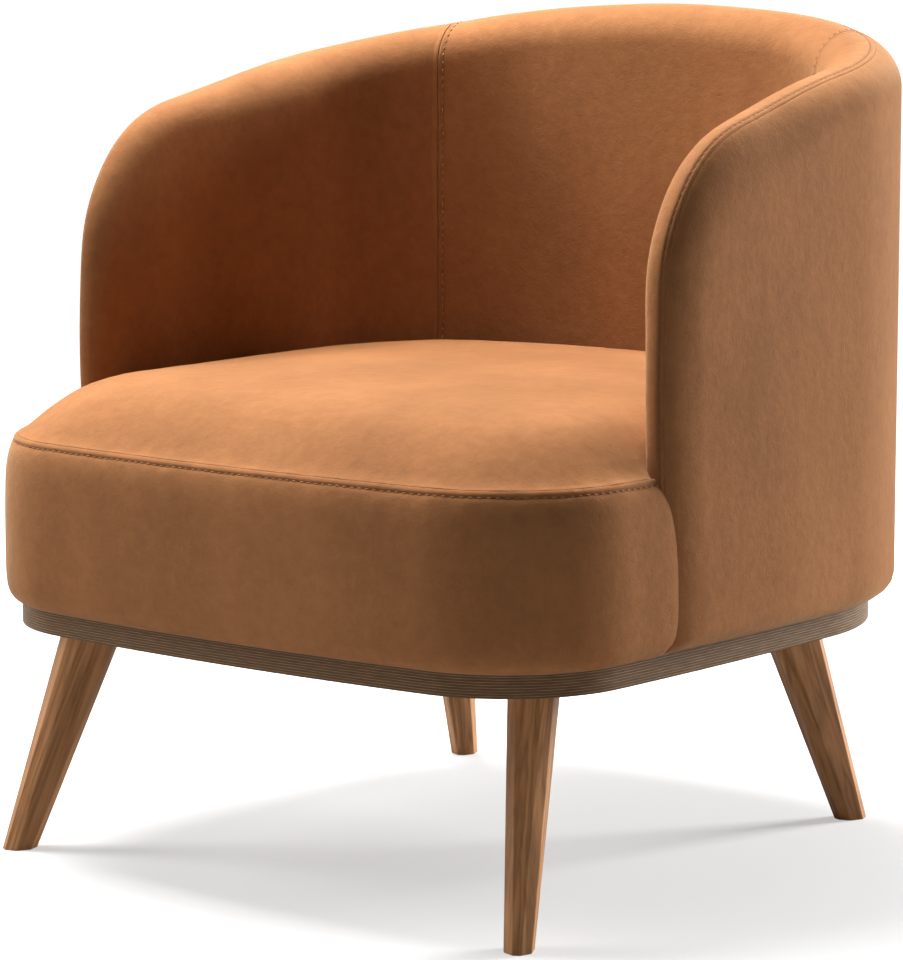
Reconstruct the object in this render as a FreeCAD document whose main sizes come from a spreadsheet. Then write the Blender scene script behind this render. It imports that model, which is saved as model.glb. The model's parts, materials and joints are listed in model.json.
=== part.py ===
import FreeCAD, Part
import math
import os
import types

import Sketcher

# An upholstered tub chair in millimetres: a padded shell round a fixed crowned seat,
# on a plywood base board with four splayed legs.
# The origin is on the floor in the middle of the chair, +Z is up and the chair faces -Y.

Vector = FreeCAD.Vector
Placement = FreeCAD.Placement
Rotation = FreeCAD.Rotation
UP = Vector(0, 0, 1)

doc = FreeCAD.newDocument("TubChair")
sheet = doc.addObject("Spreadsheet::Sheet", "Sizes")

# Every size that can be set by itself: name, value, what it is.
SIZES = [
    ("board_half_width", 330, "board, middle to side"),
    ("board_front_reach", 335, "board, origin to front"),
    ("board_rear_reach", 317, "board, origin to rear"),
    ("board_front_curve_radius", 2500, "gentle curve of the front edge"),
    ("board_front_corner_radius", 123, "front corners in plan"),
    ("board_side_curve_radius", 4000, "gentle curve of the sides"),
    ("board_rear_corner_radius", 210, "rear corners in plan"),
    ("board_rear_curve_radius", 1300, "curve of the rear edge"),
    ("side_curve_forward", 8, "widest place, in front of the origin"),
    ("board_thickness", 21, "plywood of the base board"),
    ("leg_height", 210, "floor to the underside of the board"),
    ("seat_overhang", 13, "front band, beyond the board edge"),
    ("band_height", 151, "board top to the seam of the seat top"),
    ("crown_rise", 58.6, "seat seam to the top of the crown"),
    ("crown_run", 310, "how far the crown keeps rising inward"),
    ("band_roll_depth", 11, "the band rolls in this far to the seam"),
    ("band_roll_height", 41, "height of that roll"),
    ("seat_tuck_depth", 12, "roll of the band under its foot"),
    ("seat_tuck_height", 20, "height of that roll"),
    ("shell_side_overhang", 20, "shell, beyond the board at the sides"),
    ("shell_front_overhang", 14, "shell outline, beyond the board in front"),
    ("shell_rear_overhang", 31, "shell, beyond the board at the rear"),
    ("shell_front_curve_radius", 2590, "shell outline, front"),
    ("shell_front_corner_radius", 144.5, "shell outline, front corners"),
    ("shell_side_curve_radius", 3200, "shell outline, sides"),
    ("shell_rear_corner_radius", 240, "shell outline, rear corners"),
    ("shell_rear_curve_radius", 1300, "shell outline, rear"),
    ("shell_tuck_depth", 19, "roll of the shell under its foot"),
    ("shell_tuck_height", 25, "height of that roll"),
    ("back_rise", 529.5, "board top to the top of the back"),
    ("arm_front_reach", 168, "origin to the foremost point of the arms"),
    ("crest_turn_place", 104, "origin to where the crest turns into the back"),
    ("arm_half_thickness", 17, "half the wall at the arm fronts"),
    ("back_half_thickness", 36.5, "half the wall at the back"),
    ("cover_thickness", 1.5, "velvet with its backing"),
    ("outer_wadding_thickness", 5, "wadding outside the shell"),
    ("outer_lining_thickness", 2, "bent board outside the shell frame"),
    ("inner_lining_thickness", 2.5, "bent board inside the shell frame"),
    ("frame_thickness", 18, "plywood of all frame pieces"),
    ("frame_rim_gap", 3, "frame edge, inside the middle of the rim"),
    ("frame_front_gap", 25, "frame, behind the arm fronts"),
    ("rail_depth", 40, "top rail and arm posts, seen from the side"),
    ("shell_post_width", 40, "upright posts in the shell"),
    ("lining_foot_gap", 10, "outer lining, above the board"),
    ("seat_wadding_thickness", 6, "wadding on the seat foam"),
    ("band_foam_thickness", 12, "foam on the front band"),
    ("front_panel_thickness", 3, "bent panel behind the band foam"),
    ("deck_height", 99, "board top to the top of the seat deck"),
    ("sole_rail_width", 38, "rail that the shell stands on"),
    ("seat_ring_width", 30, "rings of the seat box"),
    ("seat_post_width", 40, "posts of the seat box, along the ring"),
    ("seat_post_depth", 26, "posts of the seat box, across the ring"),
    ("seat_side_gap", 0.5, "seat box to the sole rail"),
    ("webbing_width", 60, "straps under the seat foam"),
    ("webbing_thickness", 2, "straps under the seat foam"),
    ("webbing_end_gap", 8, "strap ends, inside the ring edge"),
    ("leg_head_length", 54, "leg at the board, along the splay"),
    ("leg_head_width", 40, "leg at the board, across the splay"),
    ("leg_foot_length", 31, "leg at the floor, along the splay"),
    ("leg_foot_width", 24, "leg at the floor, across the splay"),
    ("leg_chamfer", 8.5, "four long edges of a leg"),
    ("front_leg_x", 253.3, "front leg heads, from the middle"),
    ("front_leg_y", 230, "front leg heads, in front of the origin"),
    ("rear_leg_x", 202.6, "rear leg heads, from the middle"),
    ("rear_leg_y", 211.9, "rear leg heads, behind the origin"),
    ("leg_splay", 77, "how far a foot stands out from its head"),
    ("front_splay_angle", 28.7, "front legs, turned outward from straight ahead"),
    ("rear_splay_angle", 24.4, "rear legs, turned outward from straight back"),
    ("bolt_diameter", 8, "leg bolts"),
    ("bolt_clearance", 1, "bolt holes over the bolt diameter"),
    ("bolt_reach", 40, "leg bolt, into the leg"),
    ("bolt_head_diameter", 14, "leg bolts"),
    ("bolt_head_height", 5, "leg bolts"),
    ("bolt_place", 2, "leg bolt, outward from the middle of the head"),
    ("washer_diameter", 24, "under the bolt heads"),
    ("washer_thickness", 2, "under the bolt heads"),
    ("insert_diameter", 12, "threaded inserts in the legs"),
    ("insert_length", 25, "threaded inserts in the legs"),
    ("dowel_diameter", 8, "dowels that stop a leg turning"),
    ("dowel_place", 18, "dowel, inward from the middle of the head"),
    ("dowel_in_leg", 20, "dowel length in the leg"),
    ("dowel_in_board", 15, "dowel length in the board"),
    ("screw_diameter", 4, "screws up through the board"),
    ("screw_head_diameter", 8, "screws up through the board"),
    ("screw_head_height", 3, "screws up through the board"),
    ("screw_in_rail", 13, "screw length in the frame above"),
    ("inner_seam_angle", 14, "inside seams, as they cross the rim"),
]

# The rim of the arms, from the arm front to where the crest turns into the back.
# Rim place and foot place: shares of the way from the arm front to that turn.
# Rise: share of the back's rise.  Fullness: share of the way from the arm's thickness to the back's.
RIM_PLACE_SHARES = [0.029, 0.026, 0.011, 0.0, 0.007, 0.029, 0.088, 0.184, 0.324, 0.507, 0.728, 1.0]
RIM_RISE_SHARES = [0.0, 0.111, 0.263, 0.414, 0.536, 0.631, 0.701, 0.765, 0.814, 0.842, 0.869, 0.899]
FOOT_PLACE_SHARES = [0.471, 0.581, 0.654, 0.71, 0.757, 0.801, 0.838, 0.875, 0.904, 0.934, 0.967, 1.0]
FULLNESS_SHARES = [0.0, 0.0, 0.0, 0.0, 0.051, 0.128, 0.179, 0.256, 0.359, 0.615, 0.872, 1.0]
RIM_ANGLES = [0, 0, 0, 0, 3, 14, 34, 50, 63, 74, 76, 78]

# The rest of the crest, as shares of the way round to the middle of the back.
CREST_WAY_SHARES = [0.13, 0.27, 0.41, 0.55, 0.70, 0.85, 1.0]
CREST_RISE_SHARES = [0.917, 0.937, 0.956, 0.973, 0.987, 0.996, 1.0]
CREST_ANGLE = 90

# The crown of the seat: how far in, and how high, each ring of it lies.
# The first ring lies under the seam, where the crown is cut off level.
CROWN_RUN_SHARES = [-0.052, 0.0, 0.013, 0.032, 0.058, 0.09, 0.135, 0.2, 0.297, 0.426, 0.597, 0.806, 1.0]
CROWN_RISE_SHARES = [-0.17, 0.0, 0.043, 0.128, 0.265, 0.418, 0.597, 0.759, 0.87, 0.939, 0.981, 0.998, 1.0]

# Rolls of the covers, as shares of their depth and height.
# Each runs on past the level where it is cut off, and the shell's runs on outward past its wall.
TUCK_DEPTH_SHARES = [-1.8, -1.0, -0.6, -0.24, 0.0, 0.0]
TUCK_HEIGHT_SHARES = [-0.28, 0.0, 0.14, 0.4, 1.0, 3.0]
BAND_ROLL_DEPTH_SHARES = [0.0, -0.14, -0.5, -1.0, -1.5]
BAND_ROLL_HEIGHT_SHARES = [-1.0, -0.58, -0.24, 0.0, 0.24]
SHELL_ROLL_DEPTH_SHARES = [-1.2, -0.6, -0.24, 0.08, 0.3]
SHELL_ROLL_HEIGHT_SHARES = [-0.07, 0.14, 0.4, 1.1]

# The seam between the outer and the inner covers, across the half thickness of the rim.
OUTER_SEAM_SHARE = 0.37
# How much further down the outer shoulder of the rim reaches than the inner one, at the arm front,
# over the half thickness there.  It fades out towards the back.
SHOULDER_SHARE = 1.6
# How far the tool that parts the two sides runs past the wall, over the frame thickness.
PARTING_REACH_SHARE = 1.7
# Where the inside seams stand, along the half outline of the shell.
INNER_SEAM_SHARE = 0.762
# Shell posts on each side, along the half outline of the shell.
SHELL_POST_SHARES = [0.47, 0.62, 0.86]
# Seat posts: in front, and then on each side and at the rear, along the half outlines.
FRONT_POST_SHARES = [0.0, 0.15]
SIDE_POST_SHARES = [0.46, 0.92]
# Straps, as shares of the board's half width and front reach.
LONG_STRAP_SHARES = [-0.5, -0.17, 0.17, 0.5]
CROSS_STRAP_SHARES = [-0.5, -0.05, 0.4]
# Screws through the board into the seat ring and into the sole rail, along the half outlines.
SEAT_SCREW_SHARES = [0.08, 0.24]
SOLE_SCREW_SHARES = [0.42, 0.9]
# How high the arm posts reach, as a share of the back's rise.
ARM_POST_SHARE = 0.45


def fill_sheet():
    for row, (name, value, note) in enumerate(SIZES, start=1):
        sheet.set("A%d" % row, name)
        sheet.set("B%d" % row, str(value))
        sheet.set("C%d" % row, note)
        sheet.setAlias("B%d" % row, name)
    doc.recompute()
    return types.SimpleNamespace(**{name: float(sheet.get(name)) for name, _, _ in SIZES})


size = fill_sheet()

# Heights that several pieces share.
board_top = size.leg_height + size.board_thickness
seam_height = board_top + size.band_height
deck_top = board_top + size.deck_height
foam_foot = deck_top + 2 * size.webbing_thickness
back_top = board_top + size.back_rise
# Smooth lofts keep to cubic curves.
LOFT_DEGREE = 3
# One overrun serves every tool that cuts right through.
overrun = size.seat_ring_width
reach = 2 * (size.board_half_width + size.back_rise)


def circles_meet(centre_one, radius_one, centre_two, radius_two, side):
    """The point that lies radius_one from centre_one and radius_two from centre_two."""
    dx = centre_two[0] - centre_one[0]
    dy = centre_two[1] - centre_one[1]
    apart = math.hypot(dx, dy)
    along = (radius_one ** 2 - radius_two ** 2 + apart ** 2) / (2 * apart)
    across = side * math.sqrt(radius_one ** 2 - along ** 2)
    x = centre_one[0] + (along * dx - across * dy) / apart
    y = centre_one[1] + (along * dy + across * dx) / apart
    return (x, y)


class Outline:
    """A closed plan outline of eight tangent arcs, the same on the left and on the right."""

    def __init__(self, half_width, front_reach, rear_reach, radii, side_forward):
        front_curve, front_corner, side_curve, rear_corner, rear_curve = radii
        self.middle = (rear_reach - front_reach) / 2
        self.half_width = half_width
        front = (0.0, front_curve - front_reach)
        side = (half_width - side_curve, -side_forward)
        rear = (0.0, rear_reach - rear_curve)
        near = circles_meet(front, front_curve - front_corner, side, side_curve - front_corner, -1)
        if near[0] < 0 or near[1] > side[1]:
            near = circles_meet(front, front_curve - front_corner, side, side_curve - front_corner, 1)
        far = circles_meet(side, side_curve - rear_corner, rear, rear_curve - rear_corner, -1)
        if far[0] < 0 or far[1] < side[1]:
            far = circles_meet(side, side_curve - rear_corner, rear, rear_curve - rear_corner, 1)
        turns = [
            -math.pi / 2,
            math.atan2(near[1] - front[1], near[0] - front[0]),
            math.atan2(near[1] - side[1], near[0] - side[0]),
            math.atan2(far[1] - side[1], far[0] - side[0]),
            math.atan2(far[1] - rear[1], far[0] - rear[0]),
            math.pi / 2,
        ]
        centres = [front, near, side, far, rear]
        self.arcs = [(centres[i], radii[i], turns[i], turns[i + 1]) for i in range(len(centres))]
        self.lengths = [radius * (end - start) for _, radius, start, end in self.arcs]
        self.total = sum(self.lengths)

    def at(self, way, offset=0.0):
        """Point and outward direction, a way from the front middle round the right side."""
        if way > self.total:
            (x, y), (nx, ny) = self.at(2 * self.total - way, offset)
            return (-x, y), (-nx, ny)
        for (centre, radius, start, _), length in zip(self.arcs, self.lengths):
            if way <= length or centre is self.arcs[-1][0]:
                turn = start + way / radius
                nx = math.cos(turn)
                ny = math.sin(turn)
                return (centre[0] + (radius + offset) * nx, centre[1] + (radius + offset) * ny), (nx, ny)
            way -= length

    def point(self, way, offset, height):
        (x, y), _ = self.at(way, offset)
        return Vector(x, y, height)

    def way_at(self, place):
        """How far round the outline its side passes this place along Y."""
        centre, radius, start, _ = self.arcs[2]
        turn = math.asin((place - centre[1]) / radius)
        return self.lengths[0] + self.lengths[1] + (turn - start) * radius

    def wire(self, height, offset=0.0, scale=1.0):
        """The closed outline at a height, moved outward by the offset or scaled about its middle."""
        marks = [0.0]
        for length in self.lengths:
            marks.append(marks[-1] + length)
        spans = [(-marks[1], marks[1])]
        spans += [(marks[i], marks[i + 1]) for i in (1, 2, 3)]
        spans += [(marks[4], 2 * self.total - marks[4])]
        spans += [(2 * self.total - marks[i + 1], 2 * self.total - marks[i]) for i in (3, 2, 1)]
        edges = []
        for start, end in spans:
            points = []
            for way in (start, (start + end) / 2, end):
                (x, y), _ = self.at(abs(way), offset)
                if way < 0:
                    x = -x
                points.append(Vector(x * scale, self.middle + (y - self.middle) * scale, height))
            edges.append(Part.Arc(*points).toShape())
        return Part.Wire(edges)

    def prism(self, offset, low, high):
        return Part.Face(self.wire(low, offset)).extrude(UP * (high - low))

    def ring(self, outer, inner, low, high):
        """A closed ring between two offsets of the outline."""
        return self.prism(outer, low, high).cut(self.prism(inner, low - overrun, high + overrun))


board_outline = Outline(
    size.board_half_width, size.board_front_reach, size.board_rear_reach,
    (size.board_front_curve_radius, size.board_front_corner_radius, size.board_side_curve_radius,
     size.board_rear_corner_radius, size.board_rear_curve_radius),
    size.side_curve_forward)
shell_outline = Outline(
    size.board_half_width + size.shell_side_overhang,
    size.board_front_reach + size.shell_front_overhang,
    size.board_rear_reach + size.shell_rear_overhang,
    (size.shell_front_curve_radius, size.shell_front_corner_radius, size.shell_side_curve_radius,
     size.shell_rear_corner_radius, size.shell_rear_curve_radius),
    size.side_curve_forward)


def box_between(low, high):
    return Part.makeBox(high.x - low.x, high.y - low.y, high.z - low.z, low)


def rotate_to(x, y):
    """A turn about Z that takes +X to this plan direction."""
    return Rotation(UP, math.degrees(math.atan2(y, x)))


def bind(thing, bindings):
    for name, expression in bindings.items():
        thing.setExpression(name, expression)


def cells(expression):
    """An expression of the sheet's cells, from one that names them plainly."""
    words = sorted((name for name, _, _ in SIZES), key=len, reverse=True)
    for index, word in enumerate(words):
        expression = expression.replace(word, "<%d>" % index)
    for index, word in enumerate(words):
        expression = expression.replace("<%d>" % index, "Sizes." + word)
    return expression


def add_body(name, origin=Vector(), turn=Rotation()):
    body = doc.addObject("PartDesign::Body", name)
    body.Label = name
    body.Placement = Placement(origin, turn)
    return body


def add_shape(name, shape):
    piece = doc.addObject("Part::Feature", name)
    piece.Label = name
    piece.Shape = shape
    piece.Placement = Placement()
    return piece


def bore(body, name, diameter, length, origin, turn=Rotation()):
    """A round hole in a body, its sizes given as expressions of the sheet."""
    hole = body.newObject("PartDesign::SubtractiveCylinder", name)
    bind(hole, {"Radius": cells(diameter) + " / 2", "Height": cells(length)})
    hole.Placement = Placement(origin, turn)
    doc.recompute()
    return hole


# Legs: where each head stands and which way its foot splays out.
def leg_places():
    places = {}
    for row, leg_x, leg_y, angle in (
            ("front", size.front_leg_x, -size.front_leg_y, size.front_splay_angle),
            ("rear", size.rear_leg_x, size.rear_leg_y, size.rear_splay_angle)):
        along = math.copysign(math.cos(math.radians(angle)), leg_y)
        across = math.sin(math.radians(angle))
        places[row + "_left_leg"] = (Vector(-leg_x, leg_y, 0), Vector(-across, along, 0))
        places[row + "_right_leg"] = (Vector(leg_x, leg_y, 0), Vector(across, along, 0))
    return places


LEGS = leg_places()


def screw_places():
    """Plan places of the screws: first into the seat ring, then into the sole rail."""
    into_seat = []
    into_sole = []
    seat_depth = seat_front_depth + size.seat_ring_width / 2
    for share in SEAT_SCREW_SHARES:
        (x, y), _ = board_outline.at(board_outline.total * share, -seat_depth)
        into_seat += [Vector(x, y, 0), Vector(-x, y, 0)]
    for share in SOLE_SCREW_SHARES:
        (x, y), _ = shell_outline.at(shell_outline.total * share, -(size.shell_rear_overhang + sole_in) / 2)
        into_sole += [Vector(x, y, 0), Vector(-x, y, 0)]
    return into_seat, into_sole


# Layers of the shell wall, measured in from its outer face.
lining_out = size.cover_thickness + size.outer_wadding_thickness
frame_out = lining_out + size.outer_lining_thickness
frame_in = frame_out + size.frame_thickness
lining_in = frame_in + size.inner_lining_thickness
sole_in = frame_out + size.sole_rail_width
# Layers of the seat band, measured in from its outer face, and the seat box behind them.
band_foam_in = size.cover_thickness + size.band_foam_thickness
panel_in = band_foam_in + size.front_panel_thickness
seat_front_depth = panel_in - size.seat_overhang
seat_side_depth = sole_in + size.seat_side_gap


def draw_outline(sketch, outline, radii):
    """The eight arcs of the outline, tangent to each other, with their radii and centres bound."""
    arcs = outline.arcs
    centres = [arcs[i][0] for i in (0, 1, 2, 3, 4)]
    order = [(0, 1), (1, 1), (2, 1), (3, 1), (4, 1), (3, -1), (2, -1), (1, -1)]
    for index, side in order:
        centre, radius, start, end = arcs[index]
        if index == 0:
            start, end = -math.pi - end, end
        elif index == 4:
            start, end = start, math.pi - start
        elif side < 0:
            start, end = math.pi - end, math.pi - start
        circle = Part.Circle(Vector(centre[0] * side, centre[1], 0), UP, radius)
        sketch.addGeometry(Part.ArcOfCircle(circle, start, end))
    count = len(order)
    for here in range(count):
        sketch.addConstraint(Sketcher.Constraint("Tangent", here, 2, (here + 1) % count, 1))
    for here, (index, side) in enumerate(order):
        row = sketch.addConstraint(Sketcher.Constraint("Radius", here, arcs[index][1]))
        sketch.setExpression("Constraints[%d]" % row, cells(radii[index]))
    sketch.addConstraint(Sketcher.Constraint("PointOnObject", 0, 3, -2))
    sketch.addConstraint(Sketcher.Constraint("PointOnObject", 4, 3, -2))
    row = sketch.addConstraint(Sketcher.Constraint("DistanceY", -1, 1, 0, 3, centres[0][1]))
    sketch.setExpression("Constraints[%d]" % row, cells(radii[0] + " - board_front_reach"))
    row = sketch.addConstraint(Sketcher.Constraint("DistanceY", 4, 3, -1, 1, -centres[4][1]))
    sketch.setExpression("Constraints[%d]" % row, cells(radii[4] + " - board_rear_reach"))
    for here, ends in ((2, (2, 3, -1, 1)), (6, (-1, 1, 6, 3))):
        row = sketch.addConstraint(Sketcher.Constraint("DistanceX", *ends, -centres[2][0]))
        sketch.setExpression("Constraints[%d]" % row, cells(radii[2] + " - board_half_width"))
        row = sketch.addConstraint(Sketcher.Constraint("DistanceY", here, 3, -1, 1, -centres[2][1]))
        sketch.setExpression("Constraints[%d]" % row, cells("side_curve_forward"))


def origin_plane(body, role):
    for feature in body.Origin.OriginFeatures:
        if feature.Role == role:
            return feature
    raise RuntimeError("no plane " + role)


def make_board():
    body = add_body("base_board", Vector(0, 0, size.leg_height))
    sketch = body.newObject("Sketcher::SketchObject", "board_outline_sketch")
    sketch.AttachmentSupport = [(origin_plane(body, "XY_Plane"), "")]
    sketch.MapMode = "FlatFace"
    radii = ["board_front_curve_radius", "board_front_corner_radius", "board_side_curve_radius",
             "board_rear_corner_radius", "board_rear_curve_radius"]
    draw_outline(sketch, board_outline, radii)
    pad = body.newObject("PartDesign::Pad", "board_pad")
    pad.Profile = sketch
    pad.setExpression("Length", cells("board_thickness"))
    doc.recompute()
    for name, (head, out) in LEGS.items():
        bolt = head + out * size.bolt_place
        dowel = head - out * size.dowel_place
        bore(body, name + "_bolt_hole", "(bolt_diameter + bolt_clearance)", "board_thickness", bolt)
        bore(body, name + "_dowel_hole", "dowel_diameter", "dowel_in_board", dowel)
    into_seat, into_sole = screw_places()
    for index, place in enumerate(into_seat + into_sole):
        bore(body, "screw_hole_%d" % index, "screw_diameter", "board_thickness", place)
        bore(body, "screw_seat_%d" % index, "screw_head_diameter", "screw_head_height", place)


def make_leg(name, head, out):
    """A tapered leg with its four long edges chamfered, and the holes in its head."""
    # In the leg's own frame X runs out along the splay, Y up and Z across.
    across = Rotation(Vector(1, 0, 0), 90)
    body = add_body(name, head, rotate_to(out.x, out.y).multiply(across))
    block = body.newObject("PartDesign::AdditiveWedge", name + "_block")
    bind(block, {
        "Xmin": cells("leg_splay - leg_foot_length / 2"), "Xmax": cells("leg_splay + leg_foot_length / 2"),
        "X2min": cells("0 - leg_head_length / 2"), "X2max": cells("leg_head_length / 2"),
        "Zmin": cells("0 - leg_foot_width / 2"), "Zmax": cells("leg_foot_width / 2"),
        "Z2min": cells("0 - leg_head_width / 2"), "Z2max": cells("leg_head_width / 2"),
        "Ymin": "0", "Ymax": cells("leg_height")})
    doc.recompute()
    long_edges = []
    for index, edge in enumerate(block.Shape.Edges, start=1):
        heights = [vertex.Point.y for vertex in edge.Vertexes]
        if max(heights) - min(heights) > size.leg_height / 2:
            long_edges.append("Edge%d" % index)
    chamfer = body.newObject("PartDesign::Chamfer", name + "_chamfer")
    chamfer.Base = (block, long_edges)
    chamfer.setExpression("Size", cells("leg_chamfer"))
    doc.recompute()
    down = Rotation(Vector(1, 0, 0), 90)
    bolt = Vector(size.bolt_place, size.leg_height, 0)
    bore(body, name + "_insert_hole", "insert_diameter", "insert_length", bolt, down)
    bore(body, name + "_bolt_hole", "(bolt_diameter + bolt_clearance)", "(bolt_reach + bolt_clearance)",
         bolt, down)
    dowel = Vector(-size.dowel_place, size.leg_height, 0)
    bore(body, name + "_dowel_hole", "dowel_diameter", "dowel_in_leg", dowel, down)


def cylinder_at(place, low, high, diameter):
    return Part.makeCylinder(diameter / 2, high - low, Vector(place.x, place.y, low))


def make_leg_hardware():
    """Each kind of fastener is one node of four separate solids."""
    bolts = []
    washers = []
    inserts = []
    dowels = []
    for head, out in LEGS.values():
        bolt = head + out * size.bolt_place
        dowel = head - out * size.dowel_place
        washer_top = board_top + size.washer_thickness
        shank = cylinder_at(bolt, size.leg_height - size.bolt_reach, washer_top, size.bolt_diameter)
        cap = cylinder_at(bolt, washer_top, washer_top + size.bolt_head_height, size.bolt_head_diameter)
        bolts.append(shank.fuse(cap))
        washer = cylinder_at(bolt, board_top, washer_top, size.washer_diameter)
        bolt_core = cylinder_at(bolt, size.leg_height - overrun, board_top + overrun, size.bolt_diameter)
        washers.append(washer.cut(bolt_core))
        insert_foot = size.leg_height - size.insert_length
        inserts.append(cylinder_at(bolt, insert_foot, size.leg_height, size.insert_diameter).cut(bolt_core))
        dowels.append(cylinder_at(dowel, size.leg_height - size.dowel_in_leg,
                                  size.leg_height + size.dowel_in_board, size.dowel_diameter))
    add_shape("leg_bolts", Part.makeCompound(bolts))
    add_shape("leg_washers", Part.makeCompound(washers))
    add_shape("leg_inserts", Part.makeCompound(inserts))
    add_shape("leg_dowels", Part.makeCompound(dowels))


def make_screw(place):
    head = cylinder_at(place, size.leg_height, size.leg_height + size.screw_head_height,
                       size.screw_head_diameter)
    shank = cylinder_at(place, size.leg_height + size.screw_head_height, board_top + size.screw_in_rail,
                        size.screw_diameter)
    return head.fuse(shank)


def miter(before, after):
    """The move of a corner when both of its sides move sideways by one."""
    across = 1 + before[0] * after[0] + before[1] * after[1]
    return ((before[0] + after[0]) / across, (before[1] + after[1]) / across)


def move_profile(points, depth):
    """An open profile of offset and height, moved inward by a depth."""
    sides = []
    for (offset, height), (next_offset, next_height) in zip(points, points[1:]):
        run = math.hypot(next_offset - offset, next_height - height)
        sides.append(((height - next_height) / run, (next_offset - offset) / run))
    moves = [sides[0]] + [miter(a, b) for a, b in zip(sides, sides[1:])] + [sides[-1]]
    return [(p[0] + m[0] * depth, p[1] + m[1] * depth) for p, m in zip(points, moves)]


def slab(low, high):
    return box_between(Vector(-reach, -reach, low), Vector(reach, reach, high))


def band_body(depth, tucked=True):
    """The seat band from the board up to the seam, moved inward by a depth."""
    points = []
    if tucked:
        for depth_share, height_share in zip(TUCK_DEPTH_SHARES, TUCK_HEIGHT_SHARES):
            points.append((size.seat_overhang + size.seat_tuck_depth * depth_share,
                           board_top + size.seat_tuck_height * height_share))
    else:
        points.append((size.seat_overhang, board_top - overrun))
    for depth_share, height_share in zip(BAND_ROLL_DEPTH_SHARES, BAND_ROLL_HEIGHT_SHARES):
        points.append((size.seat_overhang + size.band_roll_depth * depth_share,
                       seam_height + size.band_roll_height * height_share))
    rings = [board_outline.wire(z, offset) for offset, z in move_profile(points, depth)]
    body = Part.makeLoft(rings, True, not tucked, False, LOFT_DEGREE)
    return body.common(slab(board_top, seam_height))


def crown_body(depth):
    """The crowned top of the seat above the seam, moved inward by a depth."""
    points = []
    for run_share, rise_share in zip(CROWN_RUN_SHARES, CROWN_RISE_SHARES):
        points.append((-size.crown_run * run_share, seam_height + size.crown_rise * rise_share))
    edge = size.seat_overhang - size.band_roll_depth
    half = board_outline.half_width + edge
    rings = [board_outline.wire(z, edge, 1 + run / half) for run, z in move_profile(points, depth)]
    body = Part.makeLoft(rings, True, False, False, LOFT_DEGREE)
    return body.common(slab(seam_height, back_top))


def stations():
    """Rim way, rim height, foot way, half thickness, rim angle and shoulder of each slice of the wall."""
    rows = []
    span = size.crest_turn_place + size.arm_front_reach
    growth = size.back_half_thickness - size.arm_half_thickness
    for place, rise, foot, fullness, angle in zip(
            RIM_PLACE_SHARES, RIM_RISE_SHARES, FOOT_PLACE_SHARES, FULLNESS_SHARES, RIM_ANGLES):
        rim_way = shell_outline.way_at(span * place - size.arm_front_reach)
        foot_way = shell_outline.way_at(span * foot - size.arm_front_reach)
        half = size.arm_half_thickness + growth * fullness
        shoulder = SHOULDER_SHARE * (1 - fullness)
        rows.append((rim_way, board_top + size.back_rise * rise, foot_way, half, angle, shoulder))
    start = shell_outline.way_at(size.crest_turn_place)
    for way, rise in zip(CREST_WAY_SHARES, CREST_RISE_SHARES):
        here = start + (shell_outline.total - start) * way
        rim_height = board_top + size.back_rise * rise
        rows.append((here, rim_height, here, size.back_half_thickness, CREST_ANGLE, 0.0))
    return rows


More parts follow.
